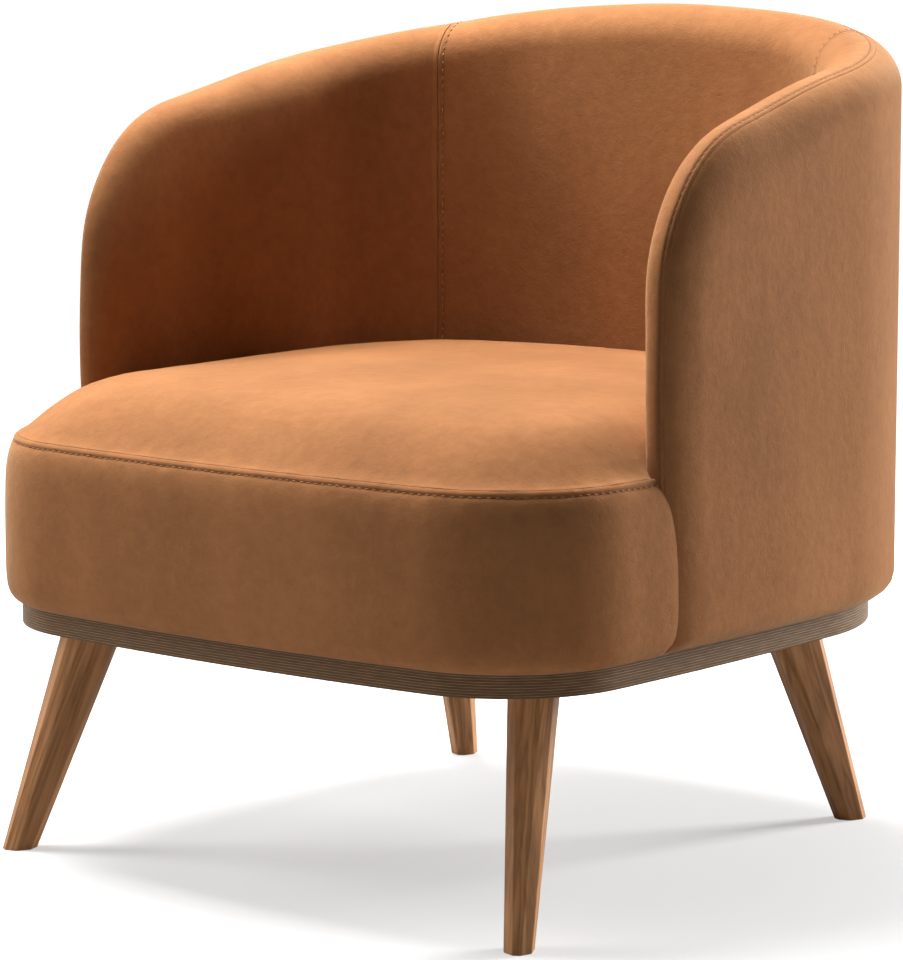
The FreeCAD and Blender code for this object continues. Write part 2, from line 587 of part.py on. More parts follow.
class Slice:
    """One slice of the shell wall: its foot, the middle of its rounded rim and its directions."""

    def __init__(self, station, inset=0.0):
        self.rim_way, rim_height, self.foot_way, self.half, rim_angle, shoulder_share = station
        self.inset = inset
        rim = shell_outline.point(self.rim_way, -self.half, rim_height)
        foot = shell_outline.point(self.foot_way, -self.half, board_top)
        _, normal = shell_outline.at(self.rim_way)
        self.length = (rim - foot).Length
        self.up = (rim - foot) * (1 / self.length)
        climb = math.degrees(math.atan2(self.up.z, math.hypot(self.up.x, self.up.y)))
        lean = math.cos(math.radians(climb - rim_angle))
        self.round = self.half - inset
        self.tip = rim - self.up * (inset / lean)
        self.depth = self.round / lean
        self.middle = self.tip - self.up * self.depth
        self.shoulder_depth = self.depth + self.half / lean * shoulder_share
        self.shoulder = self.tip - self.up * self.shoulder_depth
        out = Vector(normal[0], normal[1], 0)
        self.out = out - self.up * out.dot(self.up)
        self.out.normalize()
        self.foot = foot

    def side(self, depth, level, top):
        """The long side at this depth from the outer face, from the foot to the top point."""
        share = (level - self.foot).Length / 2 / self.length
        way = self.foot_way + (self.rim_way - self.foot_way) * share
        height = (board_top + level.z) / 2
        low = shell_outline.point(self.foot_way, -depth, board_top)
        middle = shell_outline.point(way, -depth, height)
        straight = (top - low).cross(middle - low).Length < 1e-3 * (top - low).Length
        if straight:
            return low, Part.LineSegment(low, top).toShape()
        return low, Part.Arc(low, middle, top).toShape()

    def quarter(self, level, depth, end):
        """A quarter ellipse over the rim, or a quarter circle where it isn't stretched."""
        if math.isclose(depth, self.round, rel_tol=1e-6):
            bulge = (self.tip - level + end - level) * math.sqrt(0.5)
            return Part.Arc(end, level + bulge, self.tip).toShape()
        ellipse = Part.Ellipse(self.tip, end, level)
        return Part.ArcOfEllipse(ellipse, 0, math.pi / 2).toShape()

    def wall_wire(self):
        outer = self.shoulder + self.out * self.round
        inner = self.middle - self.out * self.round
        outer_foot, outer_side = self.side(self.inset, self.shoulder, outer)
        inner_foot, inner_side = self.side(2 * self.half - self.inset, self.middle, inner)
        edges = [outer_side, inner_side, Part.LineSegment(inner_foot, outer_foot).toShape()]
        edges.append(self.quarter(self.shoulder, self.shoulder_depth, outer))
        edges.append(self.quarter(self.middle, self.depth, inner))
        return Part.Wire(Part.__sortEdges__(edges))

    def parting_wire(self):
        """Everything outside the seam: from the middle of the frame up over the rim, and far outside."""
        far = size.frame_thickness * PARTING_REACH_SHARE
        seam = self.middle + self.out * (self.half * OUTER_SEAM_SHARE)
        past = self.up * (self.depth + far)
        corners = [
            shell_outline.point(self.foot_way, -(frame_out + frame_in) / 2, board_top),
            seam,
            seam + past,
            self.middle + self.out * (self.half + far) + past,
            shell_outline.point(self.foot_way, far, board_top),
        ]
        return Part.makePolygon(corners + corners[:1])


def mirrored(shape):
    return shape.mirror(Vector(), Vector(1, 0, 0))


def loft_round(wires, ruled=False):
    """A loft from the right arm round the back to the left arm."""
    return Part.makeLoft(wires + [mirrored(wire) for wire in reversed(wires[:-1])], True, ruled)


def shell_envelope(inset):
    """The whole padded wall of the shell, less an inset, with its roll under the foot."""
    wall = loft_round([Slice(station, inset).wall_wire() for station in stations()])
    offsets = [size.shell_tuck_depth * share for share in SHELL_ROLL_DEPTH_SHARES]
    heights = [board_top + size.shell_tuck_height * share for share in SHELL_ROLL_HEIGHT_SHARES]
    heights.append(back_top + overrun)
    points = list(zip(offsets, heights))
    rings = [shell_outline.wire(z, offset) for offset, z in move_profile(points, inset)]
    roll = Part.makeLoft(rings, True, True)
    return wall, roll, wall.common(roll)


def side_profile(drop):
    """The shell frame seen from the side, as a block along X; its edge drops in by this much."""
    slices = [Slice(station) for station in stations()]
    front = size.frame_front_gap - size.arm_front_reach + drop
    turn = RIM_ANGLES.index(next(angle for angle in RIM_ANGLES if angle > 0))
    inward = size.frame_rim_gap + drop
    edge = []
    for piece in slices[turn:]:
        edge.append(Vector(-reach, max(piece.middle.y, front - drop) + inward, piece.middle.z - inward))
    edge[0].y = front
    curve = Part.BSplineCurve()
    curve.interpolate(edge)
    far = Vector(-reach, shell_outline.half_width * 2, edge[-1].z)
    corners = [edge[-1], far, Vector(-reach, far.y, board_top), Vector(-reach, front, board_top), edge[0]]
    sides = [Part.LineSegment(a, b).toShape() for a, b in zip(corners, corners[1:])]
    wire = Part.Wire(Part.__sortEdges__(sides + [curve.toShape()]))
    return Part.Face(wire).extrude(Vector(2 * reach, 0, 0))


def upright_box(outline, way, depth, across, along, low, high):
    """A box that stands on a ring, square to the outline."""
    (x, y), (nx, ny) = outline.at(way, -depth)
    block = Part.makeBox(across, along, high - low, Vector(-across / 2, -along / 2, 0))
    return block.transformed(Placement(Vector(x, y, low), rotate_to(nx, ny)).toMatrix(), True)


def make_shell_frame(padded_roll, into_sole):
    ring = shell_outline.ring(-frame_out, -frame_in, board_top, back_top)
    frame = ring.common(side_profile(0))
    window = side_profile(size.rail_depth)
    sole_top = board_top + size.frame_thickness
    post_top = board_top + size.back_rise * ARM_POST_SHARE
    sole = shell_outline.ring(-frame_out, -sole_in, board_top, sole_top)
    sole = sole.common(side_profile(0)).common(padded_roll)
    for place in into_sole:
        sole = sole.cut(cylinder_at(place, board_top, board_top + size.screw_in_rail, size.screw_diameter))
    add_shape("shell_sole_rail", sole)
    edge = frame.cut(window)
    add_shape("shell_top_rail", edge.common(slab(post_top, back_top + overrun)))
    arm_posts = edge.common(slab(sole_top, post_top)).Solids
    for post in arm_posts:
        side = "left" if post.CenterOfMass.x < 0 else "right"
        add_shape("arm_front_post_" + side, post)
    field = frame.common(window).common(slab(sole_top, back_top))
    names = ("front", "middle", "rear")
    for name, share in zip(names, SHELL_POST_SHARES):
        post = upright_box(shell_outline, shell_outline.total * share, (frame_out + frame_in) / 2,
                           size.frame_thickness * 2, size.shell_post_width, sole_top, back_top)
        post = post.common(field)
        add_shape("shell_post_right_" + name, post)
        add_shape("shell_post_left_" + name, mirrored(post))
    outer = shell_outline.ring(-lining_out, -frame_out, board_top + size.lining_foot_gap, back_top)
    inner = shell_outline.ring(-frame_in, -lining_in, sole_top, back_top)
    add_shape("shell_outer_lining", outer.common(side_profile(0)))
    add_shape("shell_inner_lining", inner.common(side_profile(0)))


def seat_block(inset, low, high):
    """The plan of the seat box: it follows the band in front and the shell beside and behind."""
    box = board_outline.prism(-seat_front_depth - inset, low, high)
    past_arms = box_between(Vector(-reach, -size.arm_front_reach, low - overrun),
                            Vector(reach, reach, high + overrun))
    inside = shell_outline.prism(-seat_side_depth - inset, low - overrun, high + overrun)
    return box.cut(past_arms.cut(inside))


def make_seat_box(into_seat):
    """Base ring, posts and deck ring, with the bent panel in front."""
    def ring(low, high):
        return seat_block(0, low, high).cut(seat_block(size.seat_ring_width, low - overrun, high + overrun))

    post_low = board_top + size.frame_thickness
    post_high = deck_top - size.frame_thickness
    base = ring(board_top, post_low)
    for place in into_seat:
        base = base.cut(cylinder_at(place, board_top, board_top + size.screw_in_rail, size.screw_diameter))
    add_shape("seat_base_ring", base)
    add_shape("seat_deck_ring", ring(post_high, deck_top))

    def post(outline, share, depth):
        return upright_box(outline, outline.total * share, depth + size.seat_ring_width / 2,
                           size.seat_post_depth, size.seat_post_width, post_low, post_high)

    add_shape("seat_post_front_middle", post(board_outline, FRONT_POST_SHARES[0], seat_front_depth))
    pairs = [
        ("front", post(board_outline, FRONT_POST_SHARES[1], seat_front_depth)),
        ("side", post(shell_outline, SIDE_POST_SHARES[0], seat_side_depth)),
        ("rear", post(shell_outline, SIDE_POST_SHARES[1], seat_side_depth)),
    ]
    for name, shape in pairs:
        add_shape("seat_post_right_" + name, shape)
        add_shape("seat_post_left_" + name, mirrored(shape))


def make_webbing():
    """Straps across the deck ring: long ones first, cross ones on top of them."""
    field = seat_block(size.webbing_end_gap, deck_top, foam_foot)
    half = size.webbing_width / 2
    middle = deck_top + size.webbing_thickness
    for index, share in enumerate(LONG_STRAP_SHARES, start=1):
        x = size.board_half_width * share
        strap = box_between(Vector(x - half, -reach, deck_top), Vector(x + half, reach, middle))
        add_shape("webbing_long_%d" % index, strap.common(field))
    for index, share in enumerate(CROSS_STRAP_SHARES, start=1):
        y = size.board_front_reach * share
        strap = box_between(Vector(-reach, y - half, middle), Vector(reach, y + half, foam_foot))
        add_shape("webbing_cross_%d" % index, strap.common(field))


def make_seat_upholstery(wall):
    """Covers, wadding and foam of the seat, trimmed to the padded shell that they press against."""
    cover = size.cover_thickness
    panel = board_outline.ring(size.seat_overhang - band_foam_in, -seat_front_depth, board_top, foam_foot)
    bands = [band_body(0), band_body(cover), band_body(band_foam_in, tucked=False)]
    crowns = [crown_body(depth) for depth in (0, cover, cover + size.seat_wadding_thickness)]
    add_shape("seat_front_panel", panel.cut(wall))
    add_shape("seat_band_cover", bands[0].cut(bands[1]).cut(wall))
    add_shape("seat_band_foam", bands[1].cut(bands[2]).cut(wall))
    add_shape("seat_top_cover", crowns[0].cut(crowns[1]).cut(wall))
    add_shape("seat_wadding", crowns[1].cut(crowns[2]).cut(wall))
    block = bands[2].common(slab(foam_foot, seam_height + overrun))
    add_shape("seat_foam", block.fuse(crowns[2]).cut(wall))


def inner_side(side):
    """All that lies beyond the inside seam of one side, as a tall block."""
    depth = 2 * size.back_half_thickness
    (x, y), _ = shell_outline.at(shell_outline.total * INNER_SEAM_SHARE, -depth)
    angle = math.radians(size.inner_seam_angle)
    along = Vector(math.sin(angle), math.cos(angle), 0)
    seam = Vector(x, y, board_top - overrun)
    near = seam - along * size.seat_ring_width
    past = seam + along * depth * 2
    corners = [near, past, Vector(reach, past.y, near.z), Vector(reach, -reach, near.z),
               Vector(near.x, -reach, near.z)]
    block = Part.Face(Part.makePolygon(corners + corners[:1])).extrude(UP * reach)
    return mirrored(block) if side == "left" else block


def make_shell_upholstery(envelope, inner_envelope):
    """Wadding, foam and covers of the shell, parted at the seam along its rim."""
    parting = loft_round([Slice(station).parting_wire() for station in stations()])
    skin = envelope.cut(inner_envelope)
    core = shell_outline.ring(-lining_out, -lining_in, board_top - overrun, back_top)
    padding = inner_envelope.cut(core.common(side_profile(0).fuse(foot_block())))
    add_shape("outer_cover", skin.common(parting))
    add_shape("outer_wadding", padding.common(parting))
    above = slab(foam_foot, back_top + overrun)
    inner_skin = skin.cut(parting).common(above)
    inner_padding = padding.cut(parting).common(above)
    left = inner_side("left")
    right = inner_side("right")
    for name, whole in (("inner_cover", inner_skin), ("inner_foam", inner_padding)):
        add_shape(name + "_left", whole.common(left))
        add_shape(name + "_right", whole.common(right))
        add_shape(name + "_centre", whole.cut(left).cut(right))


def foot_block():
    """Lets the frame's core cut run down past the board top."""
    front = size.frame_front_gap - size.arm_front_reach
    return box_between(Vector(-reach, front, board_top - overrun), Vector(reach, reach, board_top))


make_board()
for leg_name, (leg_head, leg_out) in LEGS.items():
    make_leg(leg_name, leg_head, leg_out)
make_leg_hardware()
seat_screws, sole_screws = screw_places()
add_shape("base_screws", Part.makeCompound([make_screw(place) for place in seat_screws + sole_screws]))
make_seat_box(seat_screws)
make_webbing()
full_wall, _, full_envelope = shell_envelope(0)
_, inner_roll, padded_envelope = shell_envelope(size.cover_thickness)
make_shell_frame(inner_roll, sole_screws)
make_seat_upholstery(full_wall)
make_shell_upholstery(full_envelope, padded_envelope)
doc.recompute()


def single(shape):
    """The one solid of a shape, or the shape itself where it holds several."""
    return shape.Solids[0] if len(shape.Solids) == 1 else shape


def export_pieces():
    for thing in doc.Objects:
        if {"Invalid", "Error"} & set(thing.State):
            raise RuntimeError("%s has failed: %s" % (thing.Label, thing.State))
    pieces = [thing for thing in doc.Objects if thing.TypeId in ("PartDesign::Body", "Part::Feature")]
    for piece in pieces:
        if piece.Shape.isNull() or not piece.Shape.isValid() or not piece.Shape.Solids:
            raise RuntimeError(piece.Label + " has no valid solid")
    os.makedirs("parts", exist_ok=True)
    for piece in pieces:
        single(piece.Shape).exportStep("parts/%s.step" % piece.Label)
        print(piece.Label, "solids", len(piece.Shape.Solids), "volume", round(piece.Shape.Volume))
    print("pieces", len(pieces))


export_pieces()
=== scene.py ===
import json
import math

import bpy
import numpy as np
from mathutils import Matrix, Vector, noise
from mathutils.bvhtree import BVHTree


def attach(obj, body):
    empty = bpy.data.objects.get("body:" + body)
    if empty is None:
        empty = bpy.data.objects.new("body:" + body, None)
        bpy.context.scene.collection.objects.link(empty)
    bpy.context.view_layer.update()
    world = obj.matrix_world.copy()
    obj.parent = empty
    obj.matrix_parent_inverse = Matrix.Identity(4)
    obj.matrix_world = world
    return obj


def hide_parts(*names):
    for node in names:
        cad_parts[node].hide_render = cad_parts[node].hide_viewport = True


# The looks of the tub chair. Its forms are worked out in millimetres, as in the part's source,
# and turned into metres where a mesh is made.
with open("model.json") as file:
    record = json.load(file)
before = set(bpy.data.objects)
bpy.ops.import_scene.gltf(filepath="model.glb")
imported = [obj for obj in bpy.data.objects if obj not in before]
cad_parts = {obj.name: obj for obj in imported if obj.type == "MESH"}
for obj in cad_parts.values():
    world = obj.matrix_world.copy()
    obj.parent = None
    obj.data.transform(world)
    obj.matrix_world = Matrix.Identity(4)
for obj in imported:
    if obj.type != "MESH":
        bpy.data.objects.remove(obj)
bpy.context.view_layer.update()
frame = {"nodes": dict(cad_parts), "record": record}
MM = 0.001

# The board and the seat.
BOARD_LOW = 210.0
BOARD_TOP = 231.0
PLIES = 9
BAND_HEIGHT = 151.0
SEAM_HEIGHT = BOARD_TOP + BAND_HEIGHT
CROWN_RISE = 58.6
CROWN_RUN = 310.0
SEAT_OVERHANG = 13.0
# How far an edge is drawn in, and over what height: the band at its top and foot, the shell's foot.
ROLL_DEPTH = 11.0
ROLL_HEIGHT = 41.0
TUCK_DEPTH = 12.0
TUCK_HEIGHT = 20.0
SHELL_TUCK_DEPTH = 19.0
SHELL_TUCK_HEIGHT = 25.0
# The shell. The arms reach forward of the middle, and the crest starts behind it.
BACK_RISE = 529.5
ARM_REACH = 168.0
CREST_PLACE = 104.0
ARM_HALF = 17.0
BACK_HALF = 36.5
INNER_FOOT = 334.0
# The rim's seam lies at this turn over the rim, from the outside in.
SEAM_TURN = math.acos(0.37)
# How much deeper the outer quarter of a thin rim is than the inner one.
SHOULDER = 2.2
# Where an inside seam meets the rim, and its turn in plan, in degrees.
INNER_SEAM_SHARE = 0.762
INNER_SEAM_ANGLE = 14.0

# The covers and their stitches.
COVER_THICKNESS = 1.4
BAND_RETURN = 2.0
STITCH_PITCH = 7.6
STITCH_LENGTH = 4.6
THREAD_RADIUS = 0.55
THREAD_WIDTH = 1.25
THREAD_SIDES = 7
# Rings of a thread: the place along its length, the share of its radius and the rise in radii.
THREAD_RINGS = [(-0.5, 0.35, -0.9), (-0.42, 0.8, -0.2), (-0.25, 1.0, 0.22), (0.0, 1.0, 0.36),
                (0.25, 1.0, 0.22), (0.42, 0.8, -0.2), (0.5, 0.35, -0.9)]
# Added to the gap from the rim's seam, so that the painted shade along this seam is faint.
SEAM_SHADE_GAP = 1.0
# The gap given to a point that is far from every seam.
FAR = 60.0
# How deep in the shell's wall the seat's covers end.
BAND_HIDDEN = 9.0
CROWN_HIDDEN = 12.0

# The legs: half sizes along the splay and across it, then the heads and their turn in degrees.
LEG_SPLAY = 77.0
LEG_HEAD = (27.0, 20.0)
LEG_TOE = (15.5, 12.0)
LEG_CHAMFER = 8.5
LEG_EASE = 0.9
LEG_PLACES = (("front", 253.3, -230.0, 28.7), ("rear", 202.6, 211.9, 24.4))
LEG_TONES = ((0.245, 0.112, 0.043), (0.42, 0.195, 0.077), (0.53, 0.268, 0.115))

# How finely the meshes are made.
RIM_ROWS = 14
OUTER_COLUMNS = 420
SIDE_COLUMNS = 120
CENTRE_COLUMNS = 70
SEAT_COLUMNS = 520
BOARD_COLUMNS = 480
WALL_COLUMNS = 260

# The rim from an arm's front to the crest: its place, its rise and the place of the foot under it
# as shares, how full the wall is, and the way that the rim faces, in degrees above level.
RIM_PLACE = [0.029, 0.026, 0.011, 0.0, 0.007, 0.029, 0.088, 0.184, 0.324, 0.507, 0.728, 1.0]
RIM_RISE = [0.0, 0.111, 0.263, 0.414, 0.536, 0.631, 0.701, 0.765, 0.814, 0.842, 0.869, 0.899]
FOOT_PLACE = [0.471, 0.581, 0.654, 0.71, 0.757, 0.801, 0.838, 0.875, 0.904, 0.934, 0.967, 1.0]
FULLNESS = [0.0, 0.0, 0.0, 0.0, 0.051, 0.128, 0.179, 0.256, 0.359, 0.615, 0.872, 1.0]
RIM_ANGLES = [0, 0, 0, 0, 3, 14, 34, 50, 63, 74, 76, 78]
# The crest: shares of the way to the middle of the back, and of the rise.
CREST_WAY = [0.13, 0.27, 0.41, 0.55, 0.70, 0.85, 1.0]
CREST_RISE = [0.917, 0.937, 0.956, 0.973, 0.987, 0.996, 1.0]
CREST_ANGLE = 90
# The seat's crown from just outside its seam to the middle, as shares of its run and rise.
CROWN_RUNS = [-0.052, 0.0, 0.013, 0.032, 0.058, 0.09, 0.135, 0.2, 0.297, 0.426, 0.597, 0.806, 1.0]
CROWN_RISES = [-0.17, 0.0, 0.043, 0.128, 0.265, 0.418, 0.597, 0.759, 0.87, 0.939, 0.981, 0.998, 1.0]


def circles_meet(c1, r1, c2, r2, side):
    dx = c2[0] - c1[0]
    dy = c2[1] - c1[1]
    apart = math.hypot(dx, dy)
    along = (r1 ** 2 - r2 ** 2 + apart ** 2) / (2 * apart)
    across = side * math.sqrt(r1 ** 2 - along ** 2)
    return (c1[0] + (along * dx - across * dy) / apart, c1[1] + (along * dy + across * dx) / apart)


class Outline:
    """A closed plan outline of tangent arcs, measured from its front middle round the right side."""

    def __init__(self, half_width, front_reach, rear_reach, radii, side_forward):
        front_curve, front_corner, side_curve, rear_corner, rear_curve = radii
        self.middle = (rear_reach - front_reach) / 2
        self.half_width = half_width
        front = (0.0, front_curve - front_reach)
        side = (half_width - side_curve, -side_forward)
        rear = (0.0, rear_reach - rear_curve)
        near = circles_meet(front, front_curve - front_corner, side, side_curve - front_corner, -1)
        if near[0] < 0 or near[1] > side[1]:
            near = circles_meet(front, front_curve - front_corner, side, side_curve - front_corner, 1)
        far = circles_meet(side, side_curve - rear_corner, rear, rear_curve - rear_corner, -1)
        if far[0] < 0 or far[1] < side[1]:
            far = circles_meet(side, side_curve - rear_corner, rear, rear_curve - rear_corner, 1)
        turns = [
            -math.pi / 2,
            math.atan2(near[1] - front[1], near[0] - front[0]),
            math.atan2(near[1] - side[1], near[0] - side[0]),
            math.atan2(far[1] - side[1], far[0] - side[0]),
            math.atan2(far[1] - rear[1], far[0] - rear[0]),
            math.pi / 2,
        ]
        centres = [front, near, side, far, rear]
        self.arcs = [(centres[i], radii[i], turns[i], turns[i + 1]) for i in range(5)]
        self.lengths = [radius * (end - start) for _, radius, start, end in self.arcs]
        self.total = sum(self.lengths)

    def at(self, way, offset=0.0):
        """The point at a length along the outline, and the outward direction there."""
        way = way % (2 * self.total)
        side = 1.0
        if way > self.total:
            way = 2 * self.total - way
            side = -1.0
        for index, ((centre, radius, start, _), length) in enumerate(zip(self.arcs, self.lengths)):
            if way <= length or index == 4:
                turn = start + way / radius
                nx = math.cos(turn)
                ny = math.sin(turn)
                x = centre[0] + (radius + offset) * nx
                return side * x, centre[1] + (radius + offset) * ny, side * nx, ny
            way -= length

    def way_at(self, place):
        """The length along the outline at a place from front to back, on the side."""
        centre, radius, start, _ = self.arcs[2]
        return self.lengths[0] + self.lengths[1] + (math.asin((place - centre[1]) / radius) - start) * radius

    def offset_of(self, x, y):
        """How far outside the outline a point lies, and the outward direction there."""
        side = -1.0 if x < 0 else 1.0
        best = None
        for centre, radius, start, end in self.arcs:
            dx = abs(x) - centre[0]
            dy = y - centre[1]
            turn = math.atan2(dy, dx)
            miss = max(start - turn, turn - end, 0.0)
            run = math.hypot(dx, dy)
            rank = (miss, abs(run - radius))
            if best is None or rank < best[0]:
                best = (rank, run - radius, side * dx / run, dy / run)
        return best[1:]


board = Outline(330, 335, 317, (2500, 123, 4000, 210, 1300), 8)
shell = Outline(350, 349, 348, (2590, 144.5, 3200, 240, 1300), 8)


class Line:
    """A smooth line through rows of values."""

    def __init__(self, places, rows):
        self.x = np.array(places, float)
        self.y = np.array(rows, float)
        count = len(self.x)
        gap = np.diff(self.x)
        left = np.zeros((count, count))
        right = np.zeros_like(self.y)
        left[0, 0] = left[-1, -1] = 1
        for i in range(1, count - 1):
            left[i, i - 1:i + 2] = gap[i - 1], 2 * (gap[i - 1] + gap[i]), gap[i]
            right[i] = 6 * ((self.y[i + 1] - self.y[i]) / gap[i] - (self.y[i] - self.y[i - 1]) / gap[i - 1])
        self.m = np.linalg.solve(left, right)

    def at(self, place):
        i = int(np.clip(np.searchsorted(self.x, place) - 1, 0, len(self.x) - 2))
        gap = self.x[i + 1] - self.x[i]
        a = (self.x[i + 1] - place) / gap
        b = 1 - a
        bend = ((a ** 3 - a) * self.m[i] + (b ** 3 - b) * self.m[i + 1]) * gap * gap / 6
        return a * self.y[i] + b * self.y[i + 1] + bend


class Steady:
    """A smooth line through rising values, which never turns back between them."""

    def __init__(self, places, values):
        self.x = np.array(places, float)
        self.y = np.array(values, float)
        steep = np.diff(self.y) / np.diff(self.x)
        inside = 2 * steep[:-1] * steep[1:] / (steep[:-1] + steep[1:])
        self.slope = np.concatenate([steep[:1], inside, steep[-1:]])

    def at(self, place):
        i = int(np.clip(np.searchsorted(self.x, place) - 1, 0, len(self.x) - 2))
        gap = self.x[i + 1] - self.x[i]
        t = (place - self.x[i]) / gap
        first = self.y[i] * (1 + 2 * t) + gap * self.slope[i] * t
        last = self.y[i + 1] * (3 - 2 * t) - gap * self.slope[i + 1] * (1 - t)
        return float(first * (1 - t) ** 2 + last * t ** 2)


def station_rows():
    """Rows of rim way, rim height, foot way, half thickness and rim angle, from arm to arm."""
    rows = []
    span = CREST_PLACE + ARM_REACH
    for place, rise, foot, full, angle in zip(RIM_PLACE, RIM_RISE, FOOT_PLACE, FULLNESS, RIM_ANGLES):
        half = ARM_HALF + (BACK_HALF - ARM_HALF) * full
        rows.append([shell.way_at(span * place - ARM_REACH), BOARD_TOP + BACK_RISE * rise,
                     shell.way_at(span * foot - ARM_REACH), half, angle])
    start = shell.way_at(CREST_PLACE)
    for way, rise in zip(CREST_WAY, CREST_RISE):
        here = start + (shell.total - start) * way
        rows.append([here, BOARD_TOP + BACK_RISE * rise, here, BACK_HALF, CREST_ANGLE])
    around = 2 * shell.total
    return rows + [[around - r[0], r[1], around - r[2], r[3], r[4]] for r in reversed(rows[:-1])]


rows = station_rows()
places = [0.0]
for before, after in zip(rows, rows[1:]):
    ax, ay, _, _ = shell.at(before[0], -before[3])
    bx, by, _, _ = shell.at(after[0], -after[3])
    places.append(places[-1] + math.dist((ax, ay, before[1]), (bx, by, after[1])))
stations = Line(places, rows)
feet = Steady(places, [row[2] for row in rows])
RIM = places[-1]


class Slice:
    """One slice of the shell wall, from its outer foot over the rim to its inner foot."""

    def __init__(self, place):
        self.rim_way, rim_height, _, self.half, angle = stations.at(place)
        self.foot_way = feet.at(place)
        x, y, nx, ny = shell.at(self.rim_way, -self.half)
        rim = Vector((x, y, rim_height))
        fx, fy, _, _ = shell.at(self.foot_way, -self.half)
        self.foot = Vector((fx, fy, BOARD_TOP))
        self.length = (rim - self.foot).length
        self.up = (rim - self.foot) / self.length
        climb = math.degrees(math.atan2(self.up.z, math.hypot(self.up.x, self.up.y)))
        self.lean = math.cos(math.radians(climb - angle))
        thin = (BACK_HALF - self.half) / (BACK_HALF - ARM_HALF)
        self.depths = (self.half / self.lean * (1 + SHOULDER * thin), self.half / self.lean)
        self.middles = [rim - self.up * depth for depth in self.depths]
        self.middle = self.middles[0]
        out = Vector((nx, ny, 0))
        self.out = (out - self.up * out.dot(self.up)).normalized()

    def side(self, share, depth, top, end):
        """A point of a curve from the foot to the top, which follows the outline at its middle."""
        fx, fy, _, _ = shell.at(self.foot_way, -depth)
        low = Vector((fx, fy, BOARD_TOP))
        part = (end - self.foot).length / 2 / self.length
        mx, my, _, _ = shell.at(self.foot_way + (self.rim_way - self.foot_way) * part, -depth)
        middle = Vector((mx, my, (BOARD_TOP + end.z) / 2))
        return (low * ((1 - share) * (1 - 2 * share)) + middle * (4 * share * (1 - share))
                + top * (share * (2 * share - 1)))

    def rim(self, turn, lift):
        """The outer quarter of the rim is drawn out into a soft shoulder."""
        which = 0 if turn < math.pi / 2 else 1
        rise = self.depths[which] + lift / self.lean
        return (self.middles[which] + self.out * (math.cos(turn) * (self.half + lift))
                + self.up * (math.sin(turn) * rise))

    def outer(self, share, lift):
        return self.side(share, -lift, self.rim(0, lift), self.middles[0])

    def inner(self, share, lift):
        """Share 0 is the foot and 1 the edge of the rim."""
        return self.side(share, 2 * self.half + lift, self.rim(math.pi, lift), self.middles[1])

    def stride(self, turn):
        """Millimetres along the rim for a turn of one radian."""
        depth = self.depths[0 if turn < math.pi / 2 else 1]
        return math.hypot(self.half * math.sin(turn), depth * math.cos(turn))


def tuck(point, lift):
    """Rolls the foot of the shell in under itself."""
    rise = (point.z - BOARD_TOP) / SHELL_TUCK_HEIGHT
    if rise >= 1:
        return point
    offset, nx, ny = shell.offset_of(point.x, point.y)
    allowed = lift - SHELL_TUCK_DEPTH * (1 - max(rise, 0)) ** 3
    if offset > allowed:
        point = point - Vector((nx, ny, 0)) * (offset - allowed)
    return point


# Gaps from a seam, in millimetres, and how far each panel stands out there.
SEAM_STEPS = [0.0, 0.5, 1.1, 1.9, 2.9, 4.0, 5.2, 6.2, 7.4, 9.2, 11.6]
OUTER_EDGE = ([0.0, 0.6, 1.5, 3.0, 6.0], [-0.35, -0.25, -0.1, 0.0, 0.0])
INNER_EDGE = ([0.0, 0.5, 1.2, 3.0, 4.2, 5.2, 6.2, 7.4, 9.2, 16.0],
              [-0.3, -0.1, 0.15, 0.35, 0.1, -0.65, 0.05, 0.3, 0.2, 0.0])
FLAT_EDGE = ([0.0, 0.5, 1.2, 3.0, 5.0, 6.2, 7.6, 12.0, 40.0],
             [-1.5, -0.7, -0.4, -0.45, -0.7, -1.1, -0.9, -0.7, 0.0])
BAND_EDGE = ([0.0, 0.6, 1.4, 2.6, 3.8, 4.7, 5.3, 5.9, 6.6, 7.6, 9.5, 16.0],
             [-0.1, 0.1, 0.4, 0.65, 0.6, 0.25, -0.3, -0.7, -0.45, -0.15, 0.05, 0.0])
CROWN_EDGE = ([0.0, 1.2, 3.0], [-0.1, 0.0, 0.0])
BAND_STEPS = [0.0, 0.6, 1.4, 2.6, 3.8, 4.7, 5.3, 5.9, 6.6, 7.6, 9.5, 11.6]
SEAT_STITCH_GAP = 5.9
RIM_STITCH_GAP = 5.2
INSIDE_STITCH_GAP = 5.6
# How far the covers stand out from the solids, and the stitches of the rim and the seat too.
PROUD = 0.8
STITCH_PROUD = 0.15
# How uneven the seat's covers are.
BAND_UNEVEN = 0.7
BAND_SEED = 3.0
CROWN_UNEVEN = 1.1
CROWN_SEED = 7.0


def edge_lift(gap, table):
    return float(np.interp(gap, table[0], table[1]))


def soften(point, normal, amount, seed):
    """The slight unevenness of stretched upholstery."""
    wide = noise.noise(point * 0.008 + Vector((seed, 0, 0)))
    small = noise.noise(point * 0.03 + Vector((0, seed, 0)))
    return point + normal * (amount * (wide + 0.35 * small))


def pucker(point, out, gap):
    """Small puckers of the cloth along the seat's stitches."""
    near = max(0.0, 1.0 - abs(gap - SEAT_STITCH_GAP) / 10.0)
    return point + (out + Vector((0, 0, 1))) * (0.6 * near * noise.noise(point * 0.06))


def settle(gap):
    """Lets the unevenness die out at the seat's seam, so that both sides meet."""
    return min(1.0, gap / 25.0)


